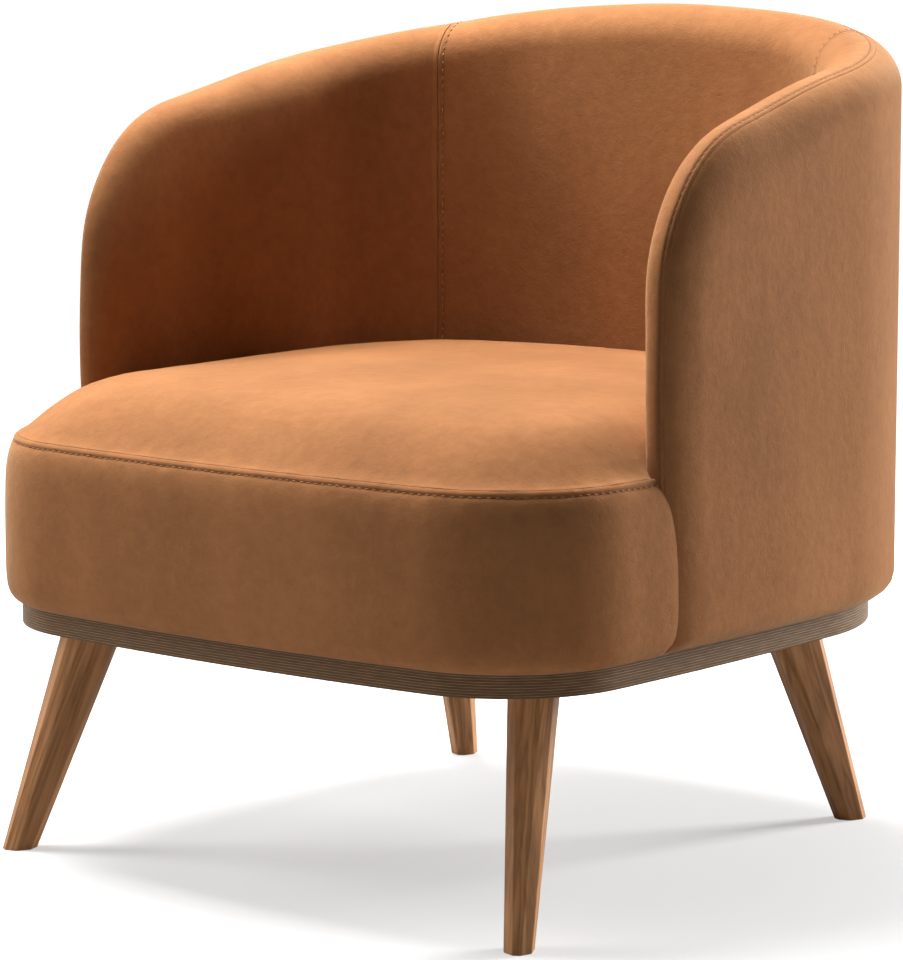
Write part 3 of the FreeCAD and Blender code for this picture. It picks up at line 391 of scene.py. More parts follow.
def add_mesh(name, points, faces, gaps=None):
    """A smooth piece from points in millimetres, each with its gap from the nearest seam."""
    mesh = bpy.data.meshes.new(name)
    mesh.from_pydata([(p[0] * MM, p[1] * MM, p[2] * MM) for p in points], [], faces)
    mesh.validate()
    if gaps is not None:
        # The gap from the nearest seam or stitch row, by which the velvet paints shade along them.
        layer = mesh.attributes.new("seam_gap", "FLOAT", "POINT")
        layer.data.foreach_set("value", gaps)
    for polygon in mesh.polygons:
        polygon.use_smooth = True
    piece = bpy.data.objects.new(name, mesh)
    bpy.context.scene.collection.objects.link(piece)
    return piece


def grid_faces(columns, count, flip=False, closed=False):
    """Quads between neighbouring columns of equal length."""
    faces = []
    for i in range(columns if closed else columns - 1):
        for j in range(count - 1):
            a = i * count + j
            b = ((i + 1) % columns) * count + j
            faces.append((a, a + 1, b + 1, b) if flip else (a, b, b + 1, a + 1))
    return faces


def rim_gaps(piece):
    """Turns from the rim seam down the outer quarter, each with its gap from the seam."""
    stride = piece.stride(SEAM_TURN)
    turns = [(SEAM_TURN - gap / stride, gap) for gap in SEAM_STEPS[:8]]
    last, gap = turns[-1]
    for k in range(1, RIM_ROWS + 1):
        turn = last * (1 - k / RIM_ROWS)
        gap += piece.stride(turn) * last / RIM_ROWS
        turns.append((turn, gap))
    return [(turn, gap, edge_lift(gap, OUTER_EDGE)) for turn, gap in turns]


def outer_column(place):
    """Points of the outer cover in one slice, from the rim seam down to the board."""
    piece = Slice(place)
    column = []
    for turn, gap, lift in rim_gaps(piece):
        column.append((tuck(piece.rim(turn, PROUD + lift), PROUD), gap + SEAM_SHADE_GAP))
    start = column[-1][1]
    height = (piece.middle - piece.foot).length
    # The rows lie closer at the foot, where the cover tucks in.
    shares = [1 - k / 26 for k in range(1, 22)] + [0.155, 0.12, 0.09, 0.065, 0.045, 0.03, 0.018, 0.008, 0.0]
    for share in shares:
        point = piece.outer(share, PROUD)
        column.append((tuck(point, PROUD), start + (1 - share) * height))
    # The last row goes down past the top of the board, close to the board's edge.
    clearance = 0.3
    foot = column[-1][0].copy()
    foot.z = BOARD_TOP - 0.5
    for _ in range(3):
        offset, nx, ny = board.offset_of(foot.x, foot.y)
        if offset > clearance:
            foot -= Vector((nx, ny, 0)) * (offset - clearance)
    column.append((foot, column[-1][1] + 10))
    return column


def seam_plane():
    """A point on the right inside seam and the direction square to it, in plan."""
    x, y, _, _ = shell.at(shell.total * INNER_SEAM_SHARE, -2 * BACK_HALF)
    angle = math.radians(INNER_SEAM_ANGLE)
    return Vector((x, y, 0)), Vector((math.cos(angle), -math.sin(angle), 0))


SEAM_POINT, SEAM_ACROSS = seam_plane()


def inner_point(place, row, lift):
    """A row is (kind, value): a gap or a share over the rim, or a share down the inside."""
    piece = Slice(place)
    kind, value = row
    if kind == "gap":
        return piece.rim(SEAM_TURN + value / piece.stride(SEAM_TURN), lift)
    if kind == "rim":
        start = SEAM_TURN + SEAM_STEPS[-1] / piece.stride(SEAM_TURN)
        return piece.rim(start + (math.pi - start) * value, lift)
    return piece.inner(value, lift)


def seam_place(row):
    """Where the right inside seam crosses a row."""
    low = places[11]
    high = RIM / 2
    for _ in range(40):
        middle = (low + high) / 2
        point = inner_point(middle, row, 0)
        if (point - SEAM_POINT).dot(SEAM_ACROSS) > 0:
            low = middle
        else:
            high = middle
    return (low + high) / 2


INNER_ROWS = [("gap", gap) for gap in SEAM_STEPS] + [("rim", k / 12) for k in range(1, 13)]
INNER_ROWS += [("in", 1 - k / 30) for k in range(1, 31)]
SEAM_PLACES = [seam_place(row) for row in INNER_ROWS]
END_STEPS = [0.0, 0.5, 1.2, 2.1, 3.2, 4.5, 5.6, 6.8, 8.5, 11.0, 15.0, 20.0, 27.0, 36.0]


def inner_panel(name, which):
    """One of the three inside panels. Rows run across it, columns along the rim."""
    columns = []
    count = CENTRE_COLUMNS if which == "centre" else SIDE_COLUMNS
    for index, row in enumerate(INNER_ROWS):
        seam = SEAM_PLACES[index]
        if which == "centre":
            start, end = seam, RIM - seam
            near, far = END_STEPS, END_STEPS
        elif which == "right":
            start, end = 0.0, seam
            near, far = [0.0], END_STEPS
        else:
            start, end = RIM - seam, RIM
            near, far = END_STEPS, [0.0]
        middle = np.linspace(start + near[-1], end - far[-1], count + 2)[1:-1]
        line = [start + gap for gap in near] + list(middle) + [end - gap for gap in reversed(far)]
        column = []
        for place in line:
            gap_side = min(place - start if len(near) > 1 else FAR, end - place if len(far) > 1 else FAR)
            lift = edge_lift(gap_side, FLAT_EDGE)
            gap_rim = FAR
            if row[0] == "gap":
                lift += edge_lift(row[1], INNER_EDGE)
                gap_rim = min(row[1] + SEAM_SHADE_GAP, abs(row[1] - RIM_STITCH_GAP))
            elif row[0] == "rim":
                gap_rim = 12.0 + row[1] * 30
                lift += edge_lift(gap_rim, INNER_EDGE)
            # The smaller gap, to an inside seam or to the rim's stitch row, sets the velvet's painted shade.
            column.append((inner_point(place, row, PROUD + lift), min(gap_side, gap_rim)))
        columns.append(column)
    points = [point for column in columns for point, _ in column]
    gaps = [gap for column in columns for _, gap in column]
    faces = grid_faces(len(columns), len(columns[0]), flip=True)
    faces = [f for f in faces if max(points[i].z for i in f) > INNER_FOOT]
    for point in points:
        point.z = max(point.z, INNER_FOOT - 0.5)
    return drop_loose(name, points, faces, gaps)


def drop_loose(name, points, faces, gaps):
    """A mesh of the faces and only the points that they use."""
    used = sorted({i for face in faces for i in face})
    index = {old: new for new, old in enumerate(used)}
    faces = [tuple(index[i] for i in face) for face in faces]
    return add_mesh(name, [points[i] for i in used], faces, [gaps[i] for i in used])


def outer_panel(name):
    """The outside of the arms and the back, in one run."""
    columns = [outer_column(RIM * k / (OUTER_COLUMNS - 1)) for k in range(OUTER_COLUMNS)]
    points = [point for column in columns for point, _ in column]
    gaps = [gap for column in columns for _, gap in column]
    return add_mesh(name, points, grid_faces(OUTER_COLUMNS, len(columns[0]), flip=True), gaps)


def wall_tree():
    """The plain padded wall, to measure from."""
    points = []
    for k in range(WALL_COLUMNS):
        piece = Slice(RIM * k / (WALL_COLUMNS - 1))
        column = [piece.outer(j / 12, 0) for j in range(12)]
        column += [piece.rim(math.pi * j / 14, 0) for j in range(15)]
        column += [piece.inner(1 - j / 12, 0) for j in range(1, 13)]
        points += column
    return BVHTree.FromPolygons(points, grid_faces(WALL_COLUMNS, len(column)))


wall = wall_tree()


def wall_gap(point):
    """How far outside the shell wall a point lies; negative inside it."""
    near, normal, _, _ = wall.find_nearest(point)
    away = point - near
    inside = away.dot(normal) < 0
    return -away.length if inside else away.length


# The run and rise of the crown, and the depth and rise of the band, each along its length.
crown_line = Line(range(len(CROWN_RUNS)),
                  [[CROWN_RUN * run, CROWN_RISE * rise] for run, rise in zip(CROWN_RUNS, CROWN_RISES)])
# The band from its foot to the seam, as offset from the board's outline and height.
BAND_PROFILE = [
    (SEAT_OVERHANG - TUCK_DEPTH, BOARD_TOP),
    (SEAT_OVERHANG - TUCK_DEPTH * 0.6, BOARD_TOP + TUCK_HEIGHT * 0.14),
    (SEAT_OVERHANG - TUCK_DEPTH * 0.24, BOARD_TOP + TUCK_HEIGHT * 0.4),
    (SEAT_OVERHANG, BOARD_TOP + TUCK_HEIGHT),
    (SEAT_OVERHANG + 0.6, BOARD_TOP + 2.2 * TUCK_HEIGHT),
    (SEAT_OVERHANG + 0.7, BOARD_TOP + 4 * TUCK_HEIGHT),
    (SEAT_OVERHANG, SEAM_HEIGHT - ROLL_HEIGHT),
    (SEAT_OVERHANG - ROLL_DEPTH * 0.14, SEAM_HEIGHT - ROLL_HEIGHT * 0.58),
    (SEAT_OVERHANG - ROLL_DEPTH * 0.5, SEAM_HEIGHT - ROLL_HEIGHT * 0.24),
    (SEAT_OVERHANG - ROLL_DEPTH, SEAM_HEIGHT),
]


def along_profile(profile):
    """A profile of offset and height as a line by its length, with its whole length."""
    ways = [0.0]
    for a, b in zip(profile, profile[1:]):
        ways.append(ways[-1] + math.dist(a, b))
    return Line(ways, profile), ways[-1]


band_line, band_length = along_profile(BAND_PROFILE)
crown_profile = [tuple(crown_line.at(k / 4)) for k in range(4, 4 * len(CROWN_RUNS) - 3)]
crown_way, crown_length = along_profile(crown_profile)


def profile_normal(line, place, length):
    """The direction square to a profile."""
    a = line.at(max(place - 0.5, 0))
    b = line.at(min(place + 0.5, length))
    run = math.dist(a, b)
    return (b[1] - a[1]) / run, (a[0] - b[0]) / run


def band_point(way, gap, lift):
    """A point of the band, a gap below the seam."""
    place = band_length - gap
    offset, height = band_line.at(place)
    out, up = profile_normal(band_line, place, band_length)
    x, y, _, _ = board.at(way, offset + out * lift)
    return Vector((x, y, height + up * lift))


def crown_point(way, gap, lift):
    """A point of the crown, a gap inward from the seam."""
    run, rise = crown_way.at(gap)
    inward, down = profile_normal(crown_way, gap, crown_length)
    run -= inward * lift
    rise -= down * lift
    edge = SEAT_OVERHANG - ROLL_DEPTH
    scale = 1 - run / (board.half_width + edge)
    x, y, _, _ = board.at(way, edge)
    return Vector((x * scale, board.middle + (y - board.middle) * scale, SEAM_HEIGHT + rise))


def seat_ways():
    """Lengths along the board's outline, for the columns of the seat's covers."""
    return [2 * board.total * k / SEAT_COLUMNS for k in range(SEAT_COLUMNS)]


def crease(point, inward, depth, reach):
    """Draws a point in where the seat presses against the shell."""
    gap = wall_gap(point)
    if gap >= reach:
        return point, gap
    share = 1 - max(gap, 0) / reach
    return point + inward * (depth * share * share), gap


def seat_band(name):
    """The band of the seat, from its seam down to the board."""
    gaps = BAND_STEPS + [14.0, 18.0, 23.0, 29.0] + list(np.linspace(36.0, band_length - 24, 15))
    gaps += list(np.linspace(band_length - 20, band_length, 9))
    ways = seat_ways()
    points = []
    seam = []
    keep = []
    for way in ways:
        _, _, nx, ny = board.at(way)
        inward = Vector((-nx, -ny, 0))
        for gap in gaps:
            point = band_point(way, gap, PROUD + edge_lift(gap, BAND_EDGE))
            point, clear = crease(point, inward, depth=1.6, reach=5.0)
            point = pucker(point, -inward, gap)
            points.append(soften(point, -inward, BAND_UNEVEN * settle(gap), BAND_SEED))
            # The gap from the stitch row, along which the velvet paints shade.
            seam.append(abs(gap - SEAT_STITCH_GAP))
            keep.append(clear > -BAND_HIDDEN)
        x, y, _, _ = board.at(way, -BAND_RETURN)
        points.append(Vector((x, y, BOARD_TOP + 0.2)))
        seam.append(band_length)
        keep.append(keep[-1])
    faces = grid_faces(len(ways), len(gaps) + 1, flip=True, closed=True)
    faces = [f for f in faces if any(keep[i] for i in f)]
    return drop_loose(name, points, faces, seam)


def seat_top(name):
    """The crowned top of the seat, from its seam to the middle."""
    gaps = SEAM_STEPS + [14.5, 18.0, 22.0, 27.0, 33.0, 40.0] + list(np.linspace(48.0, crown_length, 30))
    ways = seat_ways()
    points = []
    seam = []
    keep = []
    for way in ways:
        _, _, nx, ny = board.at(way)
        for gap in gaps:
            point = crown_point(way, gap, PROUD + edge_lift(gap, CROWN_EDGE))
            point, clear = crease(point, Vector((0, 0, -1)), depth=4.0, reach=12.0)
            point = pucker(point, Vector((nx, ny, 0)), gap + SEAT_STITCH_GAP)
            points.append(soften(point, Vector((0, 0, 1)), CROWN_UNEVEN * settle(gap), CROWN_SEED))
            seam.append(gap + SEAT_STITCH_GAP)
            keep.append(clear > -CROWN_HIDDEN)
    faces = grid_faces(len(ways), len(gaps), closed=True)
    centre = len(points)
    points.append(Vector((0, board.middle, SEAM_HEIGHT + CROWN_RISE + PROUD)))
    seam.append(crown_length)
    keep.append(True)
    count = len(gaps)
    for i in range(len(ways)):
        faces.append((i * count + count - 1, ((i + 1) % len(ways)) * count + count - 1, centre))
    faces = [f for f in faces if any(keep[i] for i in f)]
    return drop_loose(name, points, faces, seam)


def stitch_row(name, line):
    """Short threads along a line of (point, outward direction), each end sinking into the cloth."""
    ways = [0.0]
    for (a, _), (b, _) in zip(line, line[1:]):
        ways.append(ways[-1] + (b - a).length)
    points = []
    faces = []
    sides = THREAD_SIDES
    count = int(ways[-1] / STITCH_PITCH)
    cursor = 0
    for k in range(count):
        place = (k + 0.5) * ways[-1] / count
        base = len(points)
        for share, wide, rise in THREAD_RINGS:
            here = place + share * STITCH_LENGTH
            while cursor > 0 and ways[cursor] > here:
                cursor -= 1
            while cursor < len(ways) - 2 and ways[cursor + 1] < here:
                cursor += 1
            t = (here - ways[cursor]) / max(ways[cursor + 1] - ways[cursor], 1e-6)
            point = line[cursor][0].lerp(line[cursor + 1][0], t)
            normal = line[cursor][1].lerp(line[cursor + 1][1], t).normalized()
            along = (line[cursor + 1][0] - line[cursor][0]).normalized()
            across = along.cross(normal).normalized()
            centre = point + normal * (rise * THREAD_RADIUS + 0.1)
            for s in range(sides):
                turn = 2 * math.pi * s / sides
                edge = across * math.cos(turn) * THREAD_WIDTH + normal * math.sin(turn)
                points.append(centre + edge * (THREAD_RADIUS * wide))
        last = base + (len(THREAD_RINGS) - 1) * sides
        for ring in range(base, last, sides):
            for s in range(sides):
                a = ring + s
                b = ring + (s + 1) % sides
                faces.append((a, b, b + sides, a + sides))
        faces.append(tuple(base + s for s in reversed(range(sides))))
        faces.append(tuple(last + s for s in range(sides)))
    return add_mesh(name, points, faces)


def close_cover(piece):
    """Gives a cover its thickness, inward, so that it is a closed form."""
    lining = piece.modifiers.new("thickness", "SOLIDIFY")
    lining.thickness = COVER_THICKNESS * MM
    lining.offset = -1.0
    lining.use_rim = True


def outward(low, high):
    return (high - low).normalized()


def rim_stitches():
    """The row inside the rim's seam, from arm to arm."""
    line = []
    row = ("gap", RIM_STITCH_GAP)
    for k in range(900):
        place = RIM * (0.02 + 0.96 * k / 899)
        low = inner_point(place, row, STITCH_PROUD)
        if low.z > BOARD_TOP + 60:
            line.append((low, outward(low, inner_point(place, row, STITCH_PROUD + 1))))
    return line


def inside_stitches(left):
    """One row beside an inside seam, on the middle panel."""
    line = []
    lift = PROUD + edge_lift(INSIDE_STITCH_GAP, FLAT_EDGE)
    for index, row in enumerate(INNER_ROWS):
        if row[0] == "gap" and row[1] < 2:
            continue
        place = SEAM_PLACES[index] + INSIDE_STITCH_GAP
        if left:
            place = RIM - place
        low = inner_point(place, row, lift)
        if low.z > SEAM_HEIGHT + 20:
            line.append((low, outward(low, inner_point(place, row, lift + 1))))
    return line


def seat_stitches():
    """The row under the seat's seam, as far as the band shows."""
    line = []
    for k in range(-330, 331):
        way = board.total * 0.5 * k / 330
        low = band_point(way, SEAT_STITCH_GAP, STITCH_PROUD)
        if wall_gap(low) > -2:
            _, _, nx, ny = board.at(way)
            out = Vector((nx, ny, 0))
            normal = outward(low, band_point(way, SEAT_STITCH_GAP, STITCH_PROUD + 1))
            low = pucker(low, out, SEAT_STITCH_GAP)
            low = soften(low, out, BAND_UNEVEN * settle(SEAT_STITCH_GAP), BAND_SEED)
            line.append((low, normal))
    return line


def tapered_leg(name, head, out):
    """A tapered leg with chamfered long edges, slightly eased."""
    across = Vector((-out.y, out.x, 0))
    points = []
    cut = LEG_CHAMFER
    for height, centre, (long_half, wide_half) in ((BOARD_LOW, 0.0, LEG_HEAD), (0.0, LEG_SPLAY, LEG_TOE)):
        for a, b, first in ((1, 1, "wide"), (-1, 1, "long"), (-1, -1, "wide"), (1, -1, "long")):
            corners = [(a * long_half, b * (wide_half - cut)), (a * (long_half - cut), b * wide_half)]
            if first == "long":
                corners.reverse()
            for along, side in corners:
                points.append(head + out * (centre + along) + across * side + Vector((0, 0, height)))
    faces = [tuple(range(7, -1, -1)), tuple(range(8, 16))]
    for k in range(8):
        faces.append((k, (k + 1) % 8, 8 + (k + 1) % 8, 8 + k))
    piece = add_mesh(name, points, faces)
    bevel = piece.modifiers.new("ease", "BEVEL")
    bevel.width = LEG_EASE * MM
    bevel.segments = 3
    bevel.limit_method = "ANGLE"
    bevel.angle_limit = math.radians(22)
    bevel.harden_normals = True
    return piece


def board_piece(name):
    """The plywood board: its edge is slightly eased, and each ply stands or lies back by a hair."""
    ways = [2 * board.total * k / BOARD_COLUMNS for k in range(BOARD_COLUMNS)]
    thick = BOARD_TOP - BOARD_LOW
    profile = [(-3.0, 0.0), (-0.9, 0.0), (-0.3, 0.25), (-0.05, 0.7)]
    for k in range(1, PLIES):
        height = thick * k / PLIES
        profile += [(0.0, height - 0.45), (-0.16, height), (0.0, height + 0.45)]
    profile += [(-0.05, thick - 0.7), (-0.3, thick - 0.25), (-0.9, thick), (-3.0, thick)]
    points = []
    for way in ways:
        for offset, rise in profile:
            x, y, _, _ = board.at(way, offset)
            points.append(Vector((x, y, BOARD_LOW + rise)))
    count = len(profile)
    faces = grid_faces(len(ways), count, closed=True)
    faces.append(tuple(i * count for i in reversed(range(len(ways)))))
    faces.append(tuple(i * count + count - 1 for i in range(len(ways))))
    return add_mesh(name, points, faces)


# Materials.
def new_material(name):
    material = bpy.data.materials.new(name)
    material.use_nodes = True
    nodes = material.node_tree.nodes
    return material, nodes, material.node_tree.links, nodes["Principled BSDF"]


def noise_node(nodes, links, vector, scale, detail, roughness=0.55):
    node = nodes.new("ShaderNodeTexNoise")
    node.inputs["Scale"].default_value = scale
    node.inputs["Detail"].default_value = detail
    node.inputs["Roughness"].default_value = roughness
    links.new(vector, node.inputs["Vector"])
    return node


def ramp_node(nodes, links, source, stops):
    """Colours by value, from stops of (value, colour)."""
    node = nodes.new("ShaderNodeValToRGB")
    links.new(source, node.inputs["Fac"])
    node.color_ramp.elements[0].position = stops[0][0]
    node.color_ramp.elements[0].color = (*stops[0][1], 1)
    node.color_ramp.elements[1].position = stops[-1][0]
    node.color_ramp.elements[1].color = (*stops[-1][1], 1)
    for place, colour in stops[1:-1]:
        element = node.color_ramp.elements.new(place)
        element.color = (*colour, 1)
    return node


def bump_node(nodes, links, height, strength, distance, before=None):
    node = nodes.new("ShaderNodeBump")
    node.inputs["Strength"].default_value = strength
    node.inputs["Distance"].default_value = distance
    links.new(height, node.inputs["Height"])
    if before is not None:
        links.new(before.outputs["Normal"], node.inputs["Normal"])
    return node


def mapped(nodes, links, scale=(1, 1, 1), source=None):
    """Scaled coordinates: those of the source, or else the object's own."""
    if source is None:
        source = nodes.new("ShaderNodeTexCoord").outputs["Object"]
    mapping = nodes.new("ShaderNodeMapping")
    mapping.inputs["Scale"].default_value = scale
    links.new(source, mapping.inputs["Vector"])
    return mapping.outputs["Vector"]


def range_node(nodes, links, source, before, after):
    """A value carried from one range to another."""
    node = nodes.new("ShaderNodeMapRange")
    for key, value in zip(("From Min", "From Max", "To Min", "To Max"), (*before, *after)):
        node.inputs[key].default_value = value
    links.new(source, node.inputs["Value"])
    return node.outputs["Result"]


def math_node(nodes, links, operation, first, second):
    node = nodes.new("ShaderNodeMath")
    node.operation = operation
    for socket, value in zip(node.inputs, (first, second)):
        if isinstance(value, (int, float)):
            socket.default_value = value
        else:
            links.new(value, socket)
    return node.outputs["Value"]


def weighted_sum(nodes, links, *parts):
    """Noises added up, each by its weight."""
    total = None
    for noise_part, weight in parts:
        value = math_node(nodes, links, "MULTIPLY", noise_part.outputs["Fac"], weight)
        total = value if total is None else math_node(nodes, links, "ADD", total, value)
    return total


def multiply_colours(nodes, links, first, second):
    node = nodes.new("ShaderNodeMix")
    node.data_type = "RGBA"
    node.blend_type = "MULTIPLY"
    node.inputs["Factor"].default_value = 1.0
    for key, value in (("A", first), ("B", second)):
        links.new(value, [s for s in node.inputs if s.name == key and s.type == "RGBA"][0])
    return [s for s in node.outputs if s.type == "RGBA"][0]


def set_surface(links, shader, colour, bump, roughness, specular=0.5):
    """Links the colour and the bump, and sets the rest on the shader's own sockets."""
    links.new(colour, shader.inputs["Base Color"])
    if bump is not None:
        links.new(bump.outputs["Normal"], shader.inputs["Normal"])
    shader.inputs["Roughness"].default_value = roughness
    shader.inputs["Specular IOR Level"].default_value = specular


def velvet_material():
    """Short pile with broad brushed patches and fine mottling, and painted shade along the seams and stitch
    rows.
    """
    material, nodes, links, shader = new_material("velvet_rust")
    vector = mapped(nodes, links)
    brushed = mapped(nodes, links, (1.0, 1.0, 0.45))
    patches = noise_node(nodes, links, brushed, 7.0, 3.0, 0.55)
    mottle = noise_node(nodes, links, vector, 80.0, 5.0, 0.68)
    pile = noise_node(nodes, links, vector, 900.0, 2.0, 0.6)
    blend = weighted_sum(nodes, links, (patches, 0.55), (mottle, 0.35), (pile, 0.1))
    base = ramp_node(nodes, links, blend, [(0.34, (0.218, 0.09, 0.034)), (0.5, (0.27, 0.112, 0.042)),
                                           (0.66, (0.332, 0.14, 0.054))])
    # Painted shade: within 1.2 mm of a seam or stitch row the colour drops to 0.76 of itself, in place of the
    # shade in their grooves.
    gap = nodes.new("ShaderNodeAttribute")
    gap.attribute_name = "seam_gap"
    near = range_node(nodes, links, gap.outputs["Fac"], (0.0, 1.2), (0.76, 1.0))
    shaded = nodes.new("ShaderNodeVectorMath")
    shaded.operation = "SCALE"
    links.new(base.outputs["Color"], shaded.inputs[0])
    links.new(near, shaded.inputs["Scale"])
    soft = bump_node(nodes, links, mottle.outputs["Fac"], 0.6, 0.0013)
    nap = bump_node(nodes, links, pile.outputs["Fac"], 0.55, 0.0005, soft)
    set_surface(links, shader, shaded.outputs["Vector"], nap, roughness=0.85, specular=0.06)
    shader.inputs["Sheen Weight"].default_value = 0.28
    shader.inputs["Sheen Roughness"].default_value = 0.36
    shader.inputs["Sheen Tint"].default_value = (1.0, 0.72, 0.44, 1)
    return material


def thread_material(name, dark, light):
    material, nodes, links, shader = new_material(name)
    vector = mapped(nodes, links)
    twist = noise_node(nodes, links, vector, 1500.0, 2.0)
    base = ramp_node(nodes, links, twist.outputs["Fac"], [(0.3, dark), (0.7, light)])
    set_surface(links, shader, base.outputs["Color"], None, roughness=0.7, specular=0.15)
    shader.inputs["Sheen Weight"].default_value = 0.15
    return material


def wood_material(name, out, dark, mid, light):
    """Straight grain that runs along a leg, with open pores."""
    material, nodes, links, shader = new_material(name)
    lean = math.atan2(LEG_SPLAY, BOARD_LOW)
    coordinates = nodes.new("ShaderNodeTexCoord")
    turn = nodes.new("ShaderNodeMapping")
    turn.vector_type = "TEXTURE"
    turn.inputs["Rotation"].default_value = (0, -lean, math.atan2(out.y, out.x))
    links.new(coordinates.outputs["Object"], turn.inputs["Vector"])
    along = mapped(nodes, links, (1.0, 1.0, 0.05), turn.outputs["Vector"])
    figure = noise_node(nodes, links, along, 55.0, 3.0, 0.5)
    figure.inputs["Distortion"].default_value = 0.6
    lines = noise_node(nodes, links, along, 330.0, 3.0, 0.6)
    pores = noise_node(nodes, links, along, 1100.0, 2.0, 0.7)
    rings = math_node(nodes, links, "MULTIPLY", figure.outputs["Fac"], 5.0)
    rings = math_node(nodes, links, "PINGPONG", rings, 0.5)
    rings = math_node(nodes, links, "MULTIPLY", rings, 0.75)
    blend = math_node(nodes, links, "ADD", rings, weighted_sum(nodes, links, (lines, 0.45), (pores, 0.22)))
    base = ramp_node(nodes, links, blend, [(0.28, dark), (0.55, mid), (0.85, light)])
    fine = bump_node(nodes, links, pores.outputs["Fac"], 0.35, 0.0003)
    grain = bump_node(nodes, links, lines.outputs["Fac"], 0.25, 0.0004, fine)
    set_surface(links, shader, base.outputs["Color"], grain, roughness=0.52, specular=0.2)
    return material


def ply_material():
    """Stained plywood: thin light and dark layers by height, with grain along the edge."""
    material, nodes, links, shader = new_material("stained_plywood_edge")
    coordinates = nodes.new("ShaderNodeTexCoord")
    split = nodes.new("ShaderNodeSeparateXYZ")
    links.new(coordinates.outputs["Object"], split.inputs["Vector"])
    height = math_node(nodes, links, "SUBTRACT", split.outputs["Z"], BOARD_LOW * MM)
    level = math_node(nodes, links, "MULTIPLY", height, PLIES / ((BOARD_TOP - BOARD_LOW) * MM))
    wobble = noise_node(nodes, links, mapped(nodes, links, (1, 1, 6)), 30.0, 2.0)
    level = math_node(nodes, links, "ADD", level, weighted_sum(nodes, links, (wobble, 0.16)))
    phase = math_node(nodes, links, "PINGPONG", level, 0.5)
    layers = ramp_node(nodes, links, phase, [(0.0, (0.38, 0.235, 0.125)), (0.06, (0.26, 0.152, 0.076)),
                                             (0.13, (0.1, 0.057, 0.027)), (0.5, (0.122, 0.07, 0.033))])
    grain = noise_node(nodes, links, mapped(nodes, links, (1, 1, 14)), 60.0, 5.0, 0.65)
    tone = ramp_node(nodes, links, grain.outputs["Fac"],
                     [(0.3, (0.62, 0.62, 0.62)), (0.7, (1.25, 1.2, 1.15))])
    colour = multiply_colours(nodes, links, layers.outputs["Color"], tone.outputs["Color"])
    rough = bump_node(nodes, links, grain.outputs["Fac"], 0.3, 0.0004)
    set_surface(links, shader, colour, rough, roughness=0.5, specular=0.12)
    return material


def plain_material(name, low, high, scale, roughness, stretch=(1, 1, 1), metallic=0.0, bump=0.0004):
    material, nodes, links, shader = new_material(name)
    vector = mapped(nodes, links, stretch)
    speckle = noise_node(nodes, links, vector, scale, 4.0)
    base = ramp_node(nodes, links, speckle.outputs["Fac"], [(0.3, low), (0.7, high)])
    rough = bump_node(nodes, links, speckle.outputs["Fac"], 0.4, bump)
    set_surface(links, shader, base.outputs["Color"], rough, roughness)
    shader.inputs["Metallic"].default_value = metallic
    return material


def webbing_material():
    material, nodes, links, shader = new_material("elastic_webbing")
    vector = mapped(nodes, links)
    weave = nodes.new("ShaderNodeTexWave")
    weave.inputs["Scale"].default_value = 260.0
    weave.inputs["Distortion"].default_value = 1.0
    links.new(vector, weave.inputs["Vector"])
    base = ramp_node(nodes, links, weave.outputs["Fac"],
                     [(0.2, (0.02, 0.02, 0.02)), (0.8, (0.075, 0.07, 0.065))])
    ribs = bump_node(nodes, links, weave.outputs["Fac"], 0.6, 0.0005)
    set_surface(links, shader, base.outputs["Color"], ribs, roughness=0.85)
    return material


def give(piece, material):
    piece.data.materials.clear()
    piece.data.materials.append(material)


def finish_piece(piece, material, slot, *nodes):
    give(piece, material)
    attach(piece, "root")
    if nodes:
        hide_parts(*nodes)


velvet = velvet_material()
thread = thread_material("rust_thread", (0.17, 0.066, 0.025), (0.27, 0.11, 0.044))
pale_thread = thread_material("pale_rust_thread", (0.21, 0.09, 0.038), (0.34, 0.155, 0.071))

padded = [
    (outer_panel("cover_outside"), ("outer_cover", "outer_wadding")),
    (inner_panel("cover_inside_right", "right"), ("inner_cover_right", "inner_foam_right")),
    (inner_panel("cover_inside_centre", "centre"), ("inner_cover_centre", "inner_foam_centre")),
    (inner_panel("cover_inside_left", "left"), ("inner_cover_left", "inner_foam_left")),
    (seat_band("cover_seat_band"), ("seat_band_cover", "seat_band_foam")),
    (seat_top("cover_seat_top"), ("seat_top_cover", "seat_wadding")),
]
for piece, nodes in padded:
    close_cover(piece)
    finish_piece(piece, velvet, "velvet", *nodes)

threads = [
    stitch_row("topstitch_rim", rim_stitches()),
    stitch_row("topstitch_seat", seat_stitches()),
    stitch_row("topstitch_inside_right", inside_stitches(False)),
    stitch_row("topstitch_inside_left", inside_stitches(True)),
]
for piece in threads:
    finish_piece(piece, thread if "rim" in piece.name else pale_thread, "velvet")

for row, x, y, angle in LEG_PLACES:
    for side, sign in (("left", -1), ("right", 1)):
        turn = math.radians(angle)
        out = Vector((sign * math.sin(turn), math.copysign(math.cos(turn), y), 0))
        node = "%s_%s_leg" % (row, side)
        leg = tapered_leg("wooden_" + node, Vector((sign * x, y, 0)), out)
        finish_piece(leg, wood_material("walnut_" + node, out, *LEG_TONES), "stained_wood", node)

finish_piece(board_piece("plywood_board"), ply_material(), "stained_plywood", "base_board")

